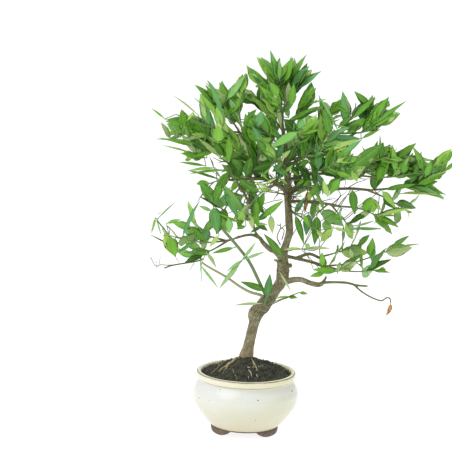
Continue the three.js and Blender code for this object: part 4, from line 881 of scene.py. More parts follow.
# Fine twigs
# Thread-thin side twigs, some dead and bare, some with a curl at the end, that fill the inside of the
# crown and hang out of it on the left. They come out of the trunk and the limbs in all directions.
FINE_TWIGS = [
    # radius at the start and at the end, and the route
    (1.0, 1.1, [(-60, -19, 257), (-71, -20, 253), (-88, -24, 251), (-105, -30, 249), (-115, -34, 246)]),
    (0.7, 0.5, [(-94, -26, 250), (-109, -33, 250), (-121, -37, 251), (-126, -40, 248)]),
    (0.4, 0.3, [(-121, -38, 251), (-122, -40, 258), (-119, -42, 264)]),
    (0.45, 0.5, [(-125, -38, 250), (-127, -40, 250), (-130, -41, 254), (-132, -42, 259), (-134, -44, 263)]),
    (0.35, 0.3, [(-127, -40, 250), (-125, -40, 254), (-128, -40, 256), (-130, -40, 254)]),
    (0.4, 0.35, [(-100, -36, 263), (-95, -30, 253)]),
    (0.6, 0.3, [(-74, -18, 250), (-77, -21, 246), (-80, -24, 240)]),
    (0.4, 0.35, [(-98, -30, 279), (-94, -26, 271)]),
    (0.8, 0.8, [(-84, -26, 284), (-96, -31, 289), (-103, -33, 298), (-111, -36, 306)]),
    (0.5, 0.4, [(-108, -40, 290), (-113, -40, 299), (-118, -40, 306), (-125, -40, 315)]),
    (0.35, 0.3, [(-125, -40, 315), (-128, -41, 311), (-130, -42, 306), (-132, -43, 302), (-132, -44, 297)]),
    (0.5, 0.4, [(-119, -40, 325), (-123, -40, 324)]),
    (1.1, 0.9, [(-9, -4, 359), (-3, -2, 349), (0, 1, 340), (4, 4, 331), (8, 6, 317)]),
    (1.2, 0.9, [(6, 4, 352), (6, -2, 338), (7, -8, 326), (12, -14, 306)]),
    (0.6, 0.45, [(50, 2, 338), (38, 2, 336), (24, -6, 333), (10, -14, 329)]),
    (0.9, 0.65, [(48, -4, 274), (43, -12, 287), (48, -14, 301), (43, -16, 305)]),
    (0.7, 0.55, [(48, -14, 301), (47, -16, 307)]),
    (0.7, 0.55, [(46, -14, 297), (55, -18, 305)]),
    (0.8, 0.55, [(50, -6, 282), (53, -10, 295), (49, -14, 300)]),
    (1.2, 0.9, [(113, -20, 334), (105, -26, 328), (98, -38, 324)]),
    (1.2, 0.9, [(60, -6, 330), (63, -18, 326), (66, -34, 324), (78, -38, 323)]),
    (0.9, 0.7, [(107, -14, 238), (104, -22, 255), (102, -30, 271), (101, -35, 282)]),
    (0.9, 0.6, [(53, -4, 263), (65, -22, 270), (77, -34, 273), (99, -34, 273), (120, -36, 302)]),
    (0.8, 0.6, [(-11, -20, 361), (-1, -30, 344), (7, -44, 326)]),
    (0.6, 0.5, [(77, -30, 271), (89, -28, 259), (103, -18, 242)]),
    (0.6, 0.5, [(80, -30, 272), (90, -28, 253), (94, -20, 242)]),
    (0.8, 0.5, [(104, -18, 240), (118, -28, 241), (130, -31, 242), (148, -27, 256)]),
    (0.8, 0.7, [(32, -4, 187), (43, -8, 192), (49, -12, 196), (58, -16, 200)]),
    (0.6, 0.4, [(58, -16, 200), (63, -17, 203), (72, -19, 207), (75, -20, 208)]),
    (0.9, 0.5, [(56, 2, 346), (36, -4, 349), (19, -10, 352)]),
    (0.9, 0.5, [(56, 2, 352), (45, -6, 362), (39, -14, 370)]),
    (0.9, 0.5, [(57, 2, 354), (64, 8, 362), (67, 14, 370)]),
    (0.9, 0.5, [(57, 2, 349), (72, -5, 361), (80, -12, 370)]),
]
# The seeded twigs leave the limbs above a height, every second one near the node where most limbs
# meet, and lead away from the middle of the crown.
SEEDED_TWIGS, TWIG_SEED, TWIG_STEPS, TWIG_SIDES = 150, 31, 6, 6
TWIGS_ABOVE, CROWN_HEART = 325, Vector((45, 5, 330))
NODE_ASIDE, NODE_HEIGHT, NODE_REACH = 48, 360, 26
TWIG_LENGTHS, TWIG_RADII = (16, 46), (0.5, 0.95)


def scattered(draw, spread):
    """A random step that is about this long each way."""
    return Vector([draw.gauss(0, spread) for _ in range(3)])


draw = random.Random(TWIG_SEED)
twig_lines = [tapered(route, TWIG_STEPS * (len(route) - 1), start, end) for start, end, route in FINE_TWIGS]
hosts = [p for points, _ in wood_lines[:len(LIMBS) + 1] for p in points if p[2] > TWIGS_ABOVE]
near_node = [
    p for p in hosts if abs(p[2] - NODE_HEIGHT) < NODE_REACH and abs(p[0] - NODE_ASIDE) < NODE_REACH]
for number in range(SEEDED_TWIGS):
    start = draw.choice(near_node if number % 2 else hosts)
    away = (start - CROWN_HEART).normalized()
    aim = (away + scattered(draw, 0.7)).normalized()
    turn = scattered(draw, 0.35)
    length = draw.uniform(*TWIG_LENGTHS)
    knee = start + aim * length * 0.5
    end = knee + (aim + turn).normalized() * length * 0.5
    thick = draw.uniform(*TWIG_RADII)
    twig_lines.append((catmull([start, knee, end], TWIG_STEPS), even(thick, thick / 2, TWIG_STEPS)))
twigs = grow("fine_twigs", line_mesh("twig_lines", twig_lines), stem_tree, Sides=TWIG_SIDES, Finish=bark)
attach(twigs, "root")
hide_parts("trunk")

# Leafy stems
# Young green shoots, each with its own lance-shaped, waxy leaves on short stalks. A leaf is one
# thin blade, folded a little along its pale midrib and bent over under its own weight.
BLADE_ROWS = [
    # share of the length, share of the width, share that is stalk
    (0.0, 0.0, 1.0), (0.10, 0.0, 1.0), (0.16, 0.46, 0.2), (0.27, 0.86, 0.0), (0.41, 1.0, 0.0),
    (0.56, 0.93, 0.0), (0.71, 0.69, 0.0), (0.86, 0.36, 0.0), (1.0, 0.0, 0.0),
]
BLADE_COLUMNS = (-1.0, -0.5, 0.0, 0.5, 1.0)


def unit_blade():
    """One flat blade: two sheets that share their edges and tip, with its shares as attributes."""
    places, rows_of, breadth, stalk = [], [], [], []
    for t, width, stem_share in BLADE_ROWS[:-1]:
        row = []
        for side, columns in ((1, BLADE_COLUMNS), (-1, BLADE_COLUMNS[-2:0:-1])):
            for u in columns:
                row.append(len(places))
                places.append((u, t, side * (1 - u * u)))
                breadth.append(width)
                stalk.append(stem_share)
        rows_of.append(row)
    tip = len(places)
    places.append((0, 1, 0))
    breadth.append(0.0)
    stalk.append(0.0)
    faces = [tuple(reversed(rows_of[0]))]
    face_side = [1]
    around = len(rows_of[0])
    for low, high in zip(rows_of, rows_of[1:] + [None]):
        for i in range(around):
            j = (i + 1) % around
            faces.append((low[i], low[j], tip) if high is None else (low[i], low[j], high[j], high[i]))
            face_side.append(0 if i < around // 2 else 1)
    mesh = bpy.data.meshes.new("unit_blade")
    mesh.from_pydata(places, [], faces)
    mesh.polygons.foreach_set("use_smooth", [True] * len(faces))
    across, along, sheet = zip(*places)
    mark(mesh, across=across, along=along, sheet=sheet, breadth=breadth, stalk=stalk)
    mark(mesh, "FACE", under=face_side)
    return mesh


leaf_finish, tree, shader = new_finish("leaf", 0.36, IOR=1.45, Specular_IOR_Level=0.36)
place = put(tree, "ShaderNodeTexCoord").outputs["Object"]
across, along, under, tint, youth, is_stem = (
    fact(tree, name) for name in ("across", "along", "under", "tint", "youth", "is_stem"))
mottle = noise_of(tree, place, 130, 3)
shade = sums(tree, "MULTIPLY_ADD", mottle, 0.22, sums(tree, "MULTIPLY_ADD", tint, 0.78, -0.05))
# The ramp turns a leaf's tone into its colour. A seen leaf's tone paints the light or shade on it as well as
# its own colour: dark tones are painted shade, pale ones partly painted light.
face = colour_ramp(
    tree, shade, (0.13, (0.040, 0.145, 0.010)), (0.34, (0.12, 0.36, 0.022)), (0.56, (0.21, 0.50, 0.045)),
    (0.72, (0.41, 0.65, 0.14)), (0.82, (0.43, 0.55, 0.25)))
# A leaf's tone times this number has a fraction that is as good as drawn, and picks the bluish
# leaves, whose blue-green is a painted sheen of reflected sky.
sheen_pick = sums(tree, "FRACT", times(tree, tint, 7.31))
face = colour_mix(tree, fade(tree, sheen_pick, 0.66, 0.8, 0.0, 0.5), face, (0.15, 0.45, 0.19, 1))
face = colour_mix(tree, times(tree, youth, 0.75), face, (0.42, 0.64, 0.09, 1))
from_rib = sums(tree, "ABSOLUTE", across)
slant = sums(tree, "MULTIPLY_ADD", from_rib, -2.6, times(tree, along, 15))
vein_wave = sums(tree, "PINGPONG", slant, 0.5)
vein = fade(tree, vein_wave, 0.0, 0.09, 1.0, 0.0)
rib = fade(tree, from_rib, 0.03, 0.11, 1.0, 0.0)
lines = sums(tree, "MAXIMUM", times(tree, rib, 0.28), times(tree, vein, 0.14))
face = colour_mix(tree, lines, face, (0.42, 0.60, 0.16, 1))
back = colour_mix(tree, 0.6, face, (0.36, 0.52, 0.20, 1))
face = colour_mix(tree, under, face, back)
stem_colour = colour_mix(tree, youth, (0.115, 0.175, 0.075, 1), (0.33, 0.34, 0.19, 1))
face = colour_mix(tree, times(tree, is_stem, 0.9), face, stem_colour)
tree.links.new(face, shader.inputs["Base Color"])
gloss = sums(tree, "MULTIPLY_ADD", under, 0.2, sums(tree, "MULTIPLY_ADD", mottle, 0.14, 0.27))
tree.links.new(gloss, shader.inputs["Roughness"])
relief = sums(tree, "SUBTRACT", times(tree, lines, -1.0), times(tree, mottle, 0.2))
bump(tree, shader, relief, 0.0003, 0.8)

leaf_tree, given, result = new_tree(
    "leafy_stem", ("Blade", "Object"), ("Thickness", "Float"), ("Stalk", "Float"), ("Sides", "Int"),
    ("Finish", "Material"))
tree = leaf_tree


def store(tree, geometry, name, value):
    """The geometry with one more number stored on its points."""
    values = {"Geometry": geometry, "Name": name, "Value": value}
    return put(tree, "GeometryNodeStoreNamedAttribute", values, data_type="FLOAT").outputs[0]


stems = store(tree, round_tubes(tree, given), "is_stem", 1.0)
stems = put(tree, "GeometryNodeSetShadeSmooth", {"Geometry": stems}).outputs[0]
blades = put(tree, "GeometryNodeInstanceOnPoints", {
    "Points": given["Geometry"], "Selection": sums(tree, "GREATER_THAN", kept(tree, "width"), 0.0),
    "Instance": put(tree, "GeometryNodeObjectInfo", {"Object": given["Blade"]}).outputs["Geometry"]})
blades = put(tree, "GeometryNodeRealizeInstances", {"Geometry": blades.outputs[0]}).outputs[0]
t, across, breadth, tint = (kept(tree, name) for name in ("along", "across", "breadth", "tint"))
t_left = sums(tree, "SUBTRACT", 1.0, t)
foot, bend, tip, side = (kept(tree, name, "FLOAT_VECTOR") for name in ("foot", "bend", "tip", "side"))
rise = scaled(tree, vectors(tree, "SUBTRACT", bend, foot), t_left)
fall = scaled(tree, vectors(tree, "SUBTRACT", tip, bend), t)
run = vectors(tree, "NORMALIZE", vectors(tree, "ADD", rise, fall))
middle = scaled(tree, foot, times(tree, t_left, t_left))
middle = vectors(tree, "ADD", middle, scaled(tree, tip, times(tree, t, t)))
middle = vectors(tree, "ADD", middle, scaled(tree, bend, times(tree, 2.0, times(tree, t, t_left))))
twist = times(tree, kept(tree, "twist"), sums(tree, "SUBTRACT", t, 0.35))
side = put(tree, "ShaderNodeVectorRotate", {
    "Vector": side, "Axis": run, "Angle": twist}, rotation_type="AXIS_ANGLE").outputs[0]
up = vectors(tree, "NORMALIZE", vectors(tree, "CROSS_PRODUCT", side, run))
stalk = times(tree, kept(tree, "stalk"), given["Stalk"])
half_width = sums(tree, "ADD", times(tree, breadth, kept(tree, "width")), stalk)
off_rib = sums(tree, "ABSOLUTE", across)
fold = times(tree, kept(tree, "fold"), breadth)
fold = times(tree, fold, sums(tree, "SUBTRACT", sums(tree, "POWER", off_rib, 1.3), 1.0))
wave = sums(tree, "SINE", sums(tree, "MULTIPLY_ADD", t, 13.0, times(tree, tint, 40.0)))
wave = times(tree, wave, times(tree, sums(tree, "POWER", off_rib, 2.0), kept(tree, "wave")))
wave = times(tree, wave, breadth)
half_thick = sums(tree, "ADD", times(tree, given["Thickness"], 0.5), stalk)
height = sums(tree, "ADD", sums(tree, "ADD", fold, wave), times(tree, kept(tree, "sheet"), half_thick))
spot = vectors(tree, "ADD", middle, scaled(tree, side, times(tree, across, half_width)))
spot = vectors(tree, "ADD", spot, scaled(tree, up, height))
blades = put(tree, "GeometryNodeSetPosition", {"Geometry": blades, "Position": spot}).outputs[0]
joined = put(tree, "GeometryNodeJoinGeometry")
tree.links.new(blades, joined.inputs[0])
tree.links.new(stems, joined.inputs[0])
end_tree(tree, joined.outputs[0], given, result)

# A packed blade is a narrow cone of three sides: its tip has three long edges, and the ring below
# the tip is nearly as wide as the blade. Lengths are in metres.
SAME_CORNER, LONG_EDGE, RING_WIDTH = 2e-5, 0.005, 0.95


def blades_of(name):
    """The blades of a packed stem: each as its foot, bend, tip, side, half width and fold."""
    shell = bmesh.new()
    shell.from_mesh(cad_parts[name].data)
    bmesh.ops.remove_doubles(shell, verts=shell.verts, dist=SAME_CORNER)
    found = []
    for vertex in shell.verts:
        near = [edge.other_vert(vertex) for edge in vertex.link_edges]
        if len(near) != 3 or min(edge.calc_length() for edge in vertex.link_edges) < LONG_EDGE:
            continue
        low = {edge.other_vert(v) for v in near for edge in v.link_edges} - set(near) - {vertex}
        if len(low) != 3:
            continue
        middles, sides, keels = [], [], []
        for ring in (near, list(low)):
            pairs = [(ring[i], ring[(i + 1) % 3], ring[(i + 2) % 3]) for i in range(3)]
            left, right, keel = max(pairs, key=lambda trio: (trio[0].co - trio[1].co).length)
            middles.append((left.co + right.co) / 2)
            sides.append(right.co - left.co)
            keels.append((left.co + right.co) / 2 - keel.co)
        foot = 3 * middles[1] - 3 * middles[0] + vertex.co
        bend = (9 * middles[1] - 4 * foot - vertex.co) / 4
        side = sides[1].normalized()
        if side.cross(bend - foot).dot(keels[1]) < 0:
            side = -side
        found.append({
            "foot": foot, "bend": bend, "tip": vertex.co.copy(), "side": side,
            "width": sides[1].length / 2 / RING_WIDTH, "fold": keels[1].length})
    shell.free()
    return found


def nearest_share(place, line):
    """Which share of a line lies nearest to a place."""
    return min(range(len(line)), key=lambda i: (line[i] - place).length) / (len(line) - 1)


# How far along the stem an added blade stands from its neighbour, how far it is turned about the
# stem, how much smaller it is, and how many metres outside the solids' box it may end.
MORE_SHIFT, MORE_TURN, MORE_SIZE, BOX_MARGIN = (-0.12, 0.10), (1.1, 2.2), (0.68, 0.95), 0.004


def more_blades(blades, line, chance, draw):
    """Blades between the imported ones: each is like a neighbour, turned about the stem."""
    added = []
    for leaf in blades:
        if draw.random() > chance:
            continue
        share = nearest_share(leaf["foot"], line) + draw.uniform(*MORE_SHIFT)
        k = min(max(int(round(share * (len(line) - 1))), 1), len(line) - 1)
        axis = (line[k] - line[k - 1]).normalized()
        turn = Matrix.Rotation(draw.choice((-1, 1)) * draw.uniform(*MORE_TURN), 3, axis)
        size = draw.uniform(*MORE_SIZE)
        foot = line[k]
        new = dict(leaf)
        new["foot"] = foot
        new["bend"] = foot + turn @ (leaf["bend"] - leaf["foot"]) * size
        new["tip"] = foot + turn @ (leaf["tip"] - leaf["foot"]) * size
        new["side"] = turn @ leaf["side"]
        new["width"] = leaf["width"] * size * draw.uniform(0.9, 1.1)
        sides = zip(new["tip"], cad_low, cad_high)
        if all(low - BOX_MARGIN < v < high + BOX_MARGIN for v, low, high in sides):
            added.append(new)
    return added


def middle_of(leaf, t):
    """A point on a blade's midrib."""
    return leaf["foot"] * (1 - t) ** 2 + leaf["bend"] * 2 * t * (1 - t) + leaf["tip"] * t * t


camera_turn = camera.rotation_euler.to_matrix()
POT_DISTANCE = VIEW_DISTANCE * MM


def in_view(place):
    """Where a place shows in the picture, in metres at the pot's distance."""
    seen = camera_turn.transposed() @ (place - camera.location)
    return Vector((seen.x, seen.y, 0)) / -seen.z * POT_DISTANCE


def from_lens(place):
    """How far a place is from the lens, along the view."""
    return (camera_turn.transposed() @ (camera.location - place)).z


# How a blade that is drawn has to keep behind the leaves seen in front, in metres in the picture and
# along the view, and how near a packed blade has to be to count as here.
FRONT_REACH, FRONT_DEPTH, HERE = 0.006, 0.004, 0.004
SECTORS, OPEN_SECTORS = 8, 2


def strays(leaf, slack):
    """Whether a blade shows where the seen leaves leave the ground bare, or stands before them."""
    for t in (0.5, 0.75, 1):
        place = middle_of(leaf, t)
        _, k, off = seen_front.find(in_view(place))
        if off > slack or (off < FRONT_REACH and from_lens(place) < seen_depths[k] - FRONT_DEPTH):
            return True
    return False


def enclosed(place, reach):
    """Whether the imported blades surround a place, as seen from the side."""
    spot = Vector((0, place.y, place.z))
    around = set()
    for other, _, off in seen_aside.find_range(spot, reach):
        if off < HERE:
            return True
        step = other - spot
        turn = (math.atan2(step.z, step.x + step.y) + math.pi) / math.tau
        around.add(int(turn * SECTORS) % SECTORS)
    return len(around) >= SECTORS - OPEN_SECTORS


LIGHT_SIDE = Vector((-0.1, -0.6, 0.75))
BACKS_SHOWN = 0.12


def towards_light(leaf, draw):
    """The blade with its glossy face up and to the front; now and then one shows its back."""
    run = leaf["tip"] - leaf["foot"]
    if leaf["side"].cross(run).dot(LIGHT_SIDE) < 0 and draw.random() > BACKS_SHOWN:
        return {**leaf, "side": -leaf["side"]}
    return leaf


FAN_TRIES = 8
FAN_LENGTHS, FAN_WIDTHS, ENCLOSED_REACH = (0.030, 0.050), (0.14, 0.19), 0.04


def fan_blades(line, count, slack, draw):
    """Blades that close the gaps of the crown, spread round the shoot like a fan."""
    made = []
    for _ in range(count * FAN_TRIES):
        if len(made) == count:
            break
        k = draw.randrange(2, len(line))
        foot = line[k]
        axis = (line[k] - line[k - 1]).normalized()
        out = (foot - crown_middle).normalized()
        aside = Matrix.Rotation(draw.uniform(0, math.tau), 3, axis) @ axis.orthogonal().normalized()
        run = axis * draw.uniform(0.45, 1.0) + aside * draw.uniform(0.5, 1.0)
        run = run + out * 0.2 + Vector((0, 0, 0.3))
        run.normalize()
        up = axis * 0.3 + out * 0.4 + Vector((-0.1, -0.5, 0.5)) + scattered(draw, 0.3)
        up = (up - run * up.dot(run)).normalized()
        length = draw.uniform(*FAN_LENGTHS)
        bend = foot + run * length * 0.5
        tip = bend + (run - up * draw.uniform(0.05, 0.45)).normalized() * length * 0.5
        width = length * draw.uniform(*FAN_WIDTHS)
        leaf = {
            "foot": foot, "bend": bend, "tip": tip, "side": run.cross(up).normalized(), "width": width,
            "fold": width * draw.uniform(0.15, 0.3)}
        if enclosed(tip, ENCLOSED_REACH) and not strays(leaf, slack):
            made.append(leaf)
    return made


BUD_LENGTHS, BUD_WIDTH, BUD_FOLD, BUD_TURN = (0.008, 0.014), 0.26, 0.05, 2.4


def tip_blades(line, draw):
    """The two or three small pale leaves that a growing tip has just opened."""
    axis = (line[-1] - line[-3]).normalized()
    aside = axis.orthogonal().normalized()
    made = []
    start = draw.uniform(0, math.tau)
    for k in range(draw.choice((2, 3))):
        out = Matrix.Rotation(start + k * BUD_TURN, 3, axis) @ aside
        length = draw.uniform(*BUD_LENGTHS)
        tip = line[-1] + (axis * 0.8 + out * 0.6).normalized() * length
        made.append({
            "foot": line[-1] - axis * 0.001, "bend": line[-1] + axis * length * 0.55, "tip": tip,
            "side": axis.cross(out).normalized(), "width": length * BUD_WIDTH,
            "fold": length * BUD_FOLD, "youth": 1.0})
    return made


# What a leaf gets at random, where nothing else is said: how far its edges wave, as a share of its
# width, how much it twists, and how pale it is. Those past this share of a stem are partly young.
WAVES, TWIST_SPREAD = (0.03, 0.16), 0.35
LEAF_TINT, TINT_SPREAD = 0.45, 0.27
YOUNG_FROM, YOUTH_GAIN = 0.7, (0, 2.2)
TIE_RADIUS = 0.6
STEM_TINT, STEM_YOUTH, LONG_SHOOT_YOUTH = 0.5, 0.15, 0.85


def stem_source(name, line, radii, blades, draw, ties=()):
    """Loose points for the blades, a line for the stem and one for each leaf stalk that reaches it."""
    first, last = len(blades), len(blades) + len(line)
    edges = [(i, i + 1) for i in range(first, last - 1)]
    edges += [(last + 2 * i, last + 2 * i + 1) for i in range(len(ties))]
    ends = [p for tie in ties for p in tie]
    mesh = bpy.data.meshes.new(name)
    mesh.from_pydata([b["foot"] for b in blades] + list(line) + ends, edges, [])
    rest = len(line) + len(ends)
    bare = [0.0] * rest
    stem_youth = LONG_SHOOT_YOUTH if name == "long_shoot" else STEM_YOUTH
    mark(
        mesh, width=[b["width"] for b in blades] + bare, fold=[b["fold"] for b in blades] + bare,
        wave=[b["width"] * draw.uniform(*WAVES) for b in blades] + bare,
        twist=[draw.gauss(0, TWIST_SPREAD) for _ in blades] + bare,
        tint=[
            b.get("tint", min(1, max(0, draw.gauss(LEAF_TINT, TINT_SPREAD))))
            for b in blades] + [STEM_TINT] * rest,
        youth=[
            b.get("youth", max(0.0, nearest_share(b["foot"], line) - YOUNG_FROM) * draw.uniform(*YOUTH_GAIN))
            for b in blades] + [stem_youth] * rest,
        thick=[0.0] * first + [r * MM for r in radii] + [TIE_RADIUS * MM] * len(ends))
    for label in ("foot", "bend", "tip", "side"):
        flat = [c for b in blades for c in b[label]] + bare * 3
        mesh.attributes.new(label, "FLOAT_VECTOR", "POINT").data.foreach_set("vector", flat)
    return mesh


# The leaves seen in front, read off the photograph, which is 452 pixels wide and high. Each
# leaf has its foot (across, down), its tip (across, down), its half width and how pale it is, from 0
# to 1; above 1 it is young. These hang from the shoots of the crown, by what lies nearest.
PICTURE_SIDE = 452
# A leaf's paleness paints the light or shade it stands in together with its own tone; the darkest leaves are
# painted shade that fills the dark middle of the crown.
CROWN_LEAVES = [
    (288, 150, 274, 147, 3.5, 0.12), (276, 159, 284, 144, 3.8, 0.1), (303, 161, 296, 147, 4, 0.08),
    (284, 168, 277, 181, 3, 0.12), (272, 165, 285, 176, 2.8, 0.13), (286, 180, 275, 187, 2.4, 0.15),
    (262, 167, 270, 180, 2.6, 0.1), (300, 189, 293, 175, 3.4, 0.1), (302, 171, 294, 162, 3.2, 0.12),
    (319, 185, 309, 178, 2.4, 0.13),
    (262, 146, 252, 126, 4.5, 0.12), (270, 142, 262, 124, 4, 0.15), (266, 152, 256, 138, 4, 0.15),
    (285, 146, 273, 132, 4, 0.1), (341, 176, 329, 196, 3.4, 0.45), (336, 178, 327, 188, 2.8, 0.37),
    (222, 116, 207, 79.5, 4.5, 0.4), (227, 98, 219, 82, 3, 0.6), (226, 101, 246.5, 74, 3.8, 0.8),
    (225, 116, 247, 92.5, 5.5, 0.5), (220, 120, 199, 93, 4, 0.7), (206, 120, 200, 95, 2.5, 0.9),
    (214, 104, 194.5, 84.5, 2, 0.42), (216, 101, 205, 84, 2, 0.5), (207, 110, 192.5, 96.5, 0.8, 0.6),
    (199, 116, 171.5, 94.5, 1.1, 0.96), (165, 119, 151, 108, 1.2, 0.6), (185, 128, 181, 110, 5.5, 0.35),
    (183, 125, 165, 121, 4, 0.42), (171, 140, 160.5, 122, 3.6, 0.96), (181, 138, 172, 126, 3.2, 0.9),
    (189, 139, 183, 120, 2.5, 0.65), (187, 121, 195, 110, 1.6, 0.85), (207, 133, 190, 117, 5, 0.28),
    (208, 139, 206, 108, 3.5, 0.15), (218, 143, 219, 125, 6.3, 0.62), (221, 157, 198, 138, 2.6, 0.9),
    (206, 136, 191, 134, 3, 0.75), (197, 144, 153, 139, 2.1, 0.42), (195, 147, 157, 137, 1.4, 0.5),
    (192, 153, 161, 145, 1.2, 0.85), (207, 158, 180, 153, 3, 0.35), (214, 152, 192, 157, 2.5, 0.42),
    (206, 166, 178, 162, 1.5, 0.42), (216, 168, 187, 171, 1.8, 0.7), (228, 170, 187, 174.5, 1.5, 0.6),
    (229, 162, 228, 134, 4.8, 0.5), (224, 157, 213, 141, 4, 0.15), (249, 158, 238, 134.5, 3.1, 0.96),
    (251, 140, 245, 113, 5.3, 0.42), (245, 137, 235, 111, 1, 0.9), (230, 121, 224, 106, 3, 0.7),
    (240, 180, 232, 153, 6, 0.15), (246, 177, 251, 156, 6, 0.15), (230, 170, 213, 195, 4.8, 0.35),
    (277, 81, 270, 49.5, 4.1, 0.65), (276, 81, 258, 57, 3.2, 0.6), (279, 81, 279, 58, 3, 0.8),
    (284, 83, 293.5, 57, 4.5, 0.5), (290, 79, 307, 54, 3, 0.45), (290, 86, 309, 66.5, 4.8, 0.4),
    (296, 90, 321, 71, 2.9, 0.4), (274, 83, 262, 68, 1.8, 0.42), (269, 89, 247, 66, 2.1, 0.35),
    (279, 96, 270, 82, 4.4, 0.45), (288, 104, 288.5, 82, 3.9, 0.96), (291, 107, 294, 83, 4, 0.42),
    (297, 110, 316, 87.5, 3.9, 0.35), (300, 107, 308, 90, 3.4, 0.3), (280, 108, 259, 85, 4, 0.62),
    (281, 120, 262, 98, 4, 0.85), (277, 122, 250, 95, 4.1, 0.75), (281, 128, 278, 103, 2.5, 0.96),
    (289, 118, 285, 104, 2.9, 0.8), (296, 133, 284, 119, 6.6, 0.05), (285, 123, 318, 106, 2.5, 0.35),
    (297, 129, 310, 115, 3.4, 0.4), (300, 131, 270, 148, 4.8, 0.65), (298, 134, 319, 118, 2.9, 0.55),
    (300, 134, 320, 130, 2.4, 0.45), (279, 138, 251, 118, 3.6, 0.5), (258, 127, 262, 110, 5, 0.25),
    (246, 120, 257, 109, 2.8, 0.3), (252, 143, 250, 118, 4.8, 0.42), (258, 161, 272, 150, 5.2, 0.96),
    (281, 159, 291, 150, 2.8, 0.9), (288, 162, 296, 141, 6, 0.05), (280, 140, 271, 126, 3, 0.4),
    (303, 161, 304, 140, 3.8, 0.42), (309, 159, 309, 137, 3.3, 0.1), (316, 158, 323, 133, 5.8, 0.75),
    (318, 132, 323, 116, 3.1, 0.98), (330, 136, 324, 108, 5.3, 0.28), (338, 131, 318, 95, 1.9, 0.8),
    (311, 104, 328, 98.5, 1, 0.5), (324, 151, 361, 139, 3.3, 0.85), (306, 161, 322, 170, 3.3, 0.85),
    (346, 126, 342.5, 91, 4.2, 0.4), (349, 113, 336, 107, 1.9, 0.35), (372, 108, 354, 91, 3.4, 0.35),
    (351, 120, 376, 97.5, 3, 0.35), (371, 122, 389, 96.5, 3.7, 0.42), (371, 126, 406.5, 101, 2.4, 0.35),
    (372, 128, 399, 112, 2.2, 0.35), (342, 131, 366, 117, 3.8, 0.35), (353, 132, 366, 118, 3, 0.35),
    (361, 139, 381, 129, 2.4, 0.42), (331, 137, 362, 139, 3.4, 0.12), (342, 154, 362, 139.5, 2.8, 0.4),
    (373, 168, 362, 146, 1.9, 0.55), (352, 167, 384, 143, 7.6, 0.22), (380, 158, 384, 144, 2.8, 0.2),
    (376, 183, 391, 152, 5.8, 0.42), (397, 176, 392, 144, 3.6, 0.6), (397, 159, 416, 143, 4.1, 0.45),
    (403, 174, 406, 158, 5.3, 0.35), (424, 172, 412, 146, 5.3, 0.5), (413, 174, 421, 160, 3.3, 0.15),
    (425, 177, 431, 160, 4.3, 0.42), (437, 167, 455, 149, 3.8, 0.45), (446, 171, 456, 161, 2, 0.35),
    (415, 186, 447, 172, 3.6, 0.5), (420, 187, 438, 181, 3.3, 0.35), (383, 190, 417, 184, 2.7, 0.35),
    (410, 185, 445, 198.5, 3, 0.4), (422, 188, 447, 195, 2.1, 0.35), (398, 194, 440, 195, 2.2, 0.9),
    (375, 191, 372, 172, 3.8, 0.2), (352, 171, 357, 182, 4.3, 0.75), (331, 192, 340, 178, 4.6, 0.42),
    (328, 197, 323, 180, 3.3, 0.85), (341, 167, 354, 153, 2.8, 0.2), (330, 169, 337, 152, 3.8, 0.15),
    (335, 172, 352, 177, 2.8, 0.6), (270, 168, 262, 176, 1.5, 0.3), (276, 170, 284, 160, 1.8, 0.2),
    (268, 180, 258, 172, 1.5, 0.7), (285, 172, 293, 165, 1.6, 0.85), (288, 176, 281, 168, 1.4, 0.5),
    (262, 168, 270, 160, 2, 0.15), (274, 164, 268, 157, 2.2, 0.15), (290, 170, 299, 176, 1.8, 0.42),
    (280, 178, 288, 185, 1.3, 0.75), (265, 184, 277, 178, 1.4, 0.9), (256, 182, 270, 190, 1.7, 0.9),
    (252, 176, 243, 168, 3, 0.15), (262, 172, 250, 164, 3.2, 0.15), (300, 174, 290, 166, 3, 0.15),
    (308, 180, 300, 170, 3, 0.3), (296, 186, 306, 178, 2, 0.42), (338, 128, 352, 116, 3, 0.3),
    (345, 134, 362, 126, 3.2, 0.2), (335, 134, 350, 127, 3, 0.25), (348, 133, 359, 124, 3, 0.15),
    (276, 162, 252, 170, 4.2, 0.08), (262, 178, 250, 166, 4, 0.06), (274, 180, 256, 178, 3, 0.06),
    (258, 160, 268, 168, 3, 0.12), (284, 164, 272, 172, 3.5, 0.12), (296, 162, 284, 170, 3.5, 0.15),
    (300, 176, 290, 166, 3.5, 0.12), (303, 184, 294, 174, 3.2, 0.12), (283, 177, 274, 166, 3.2, 0.1),
    (306, 178, 300, 188, 3, 0.1), (313, 172, 318, 182, 4, 0.1), (312, 180, 303, 186, 2.8, 0.35),
    (320, 178, 311, 170, 3.4, 0.12), (300, 160, 303, 172, 3.4, 0.2), (309, 160, 299, 166, 3, 0.3),
    (256, 188, 274, 192, 1.8, 0.75), (294, 195, 309, 189, 2, 0.8), (247, 172, 231, 158, 5, 0.15),
    (231, 173, 232, 152, 4.5, 0.18), (252, 181, 243, 170, 4, 0.12), (246, 160, 258, 170, 4, 0.08),
    (238, 180, 231, 192, 3.2, 0.6), (216, 204, 199, 181, 6.3, 0.37),
]
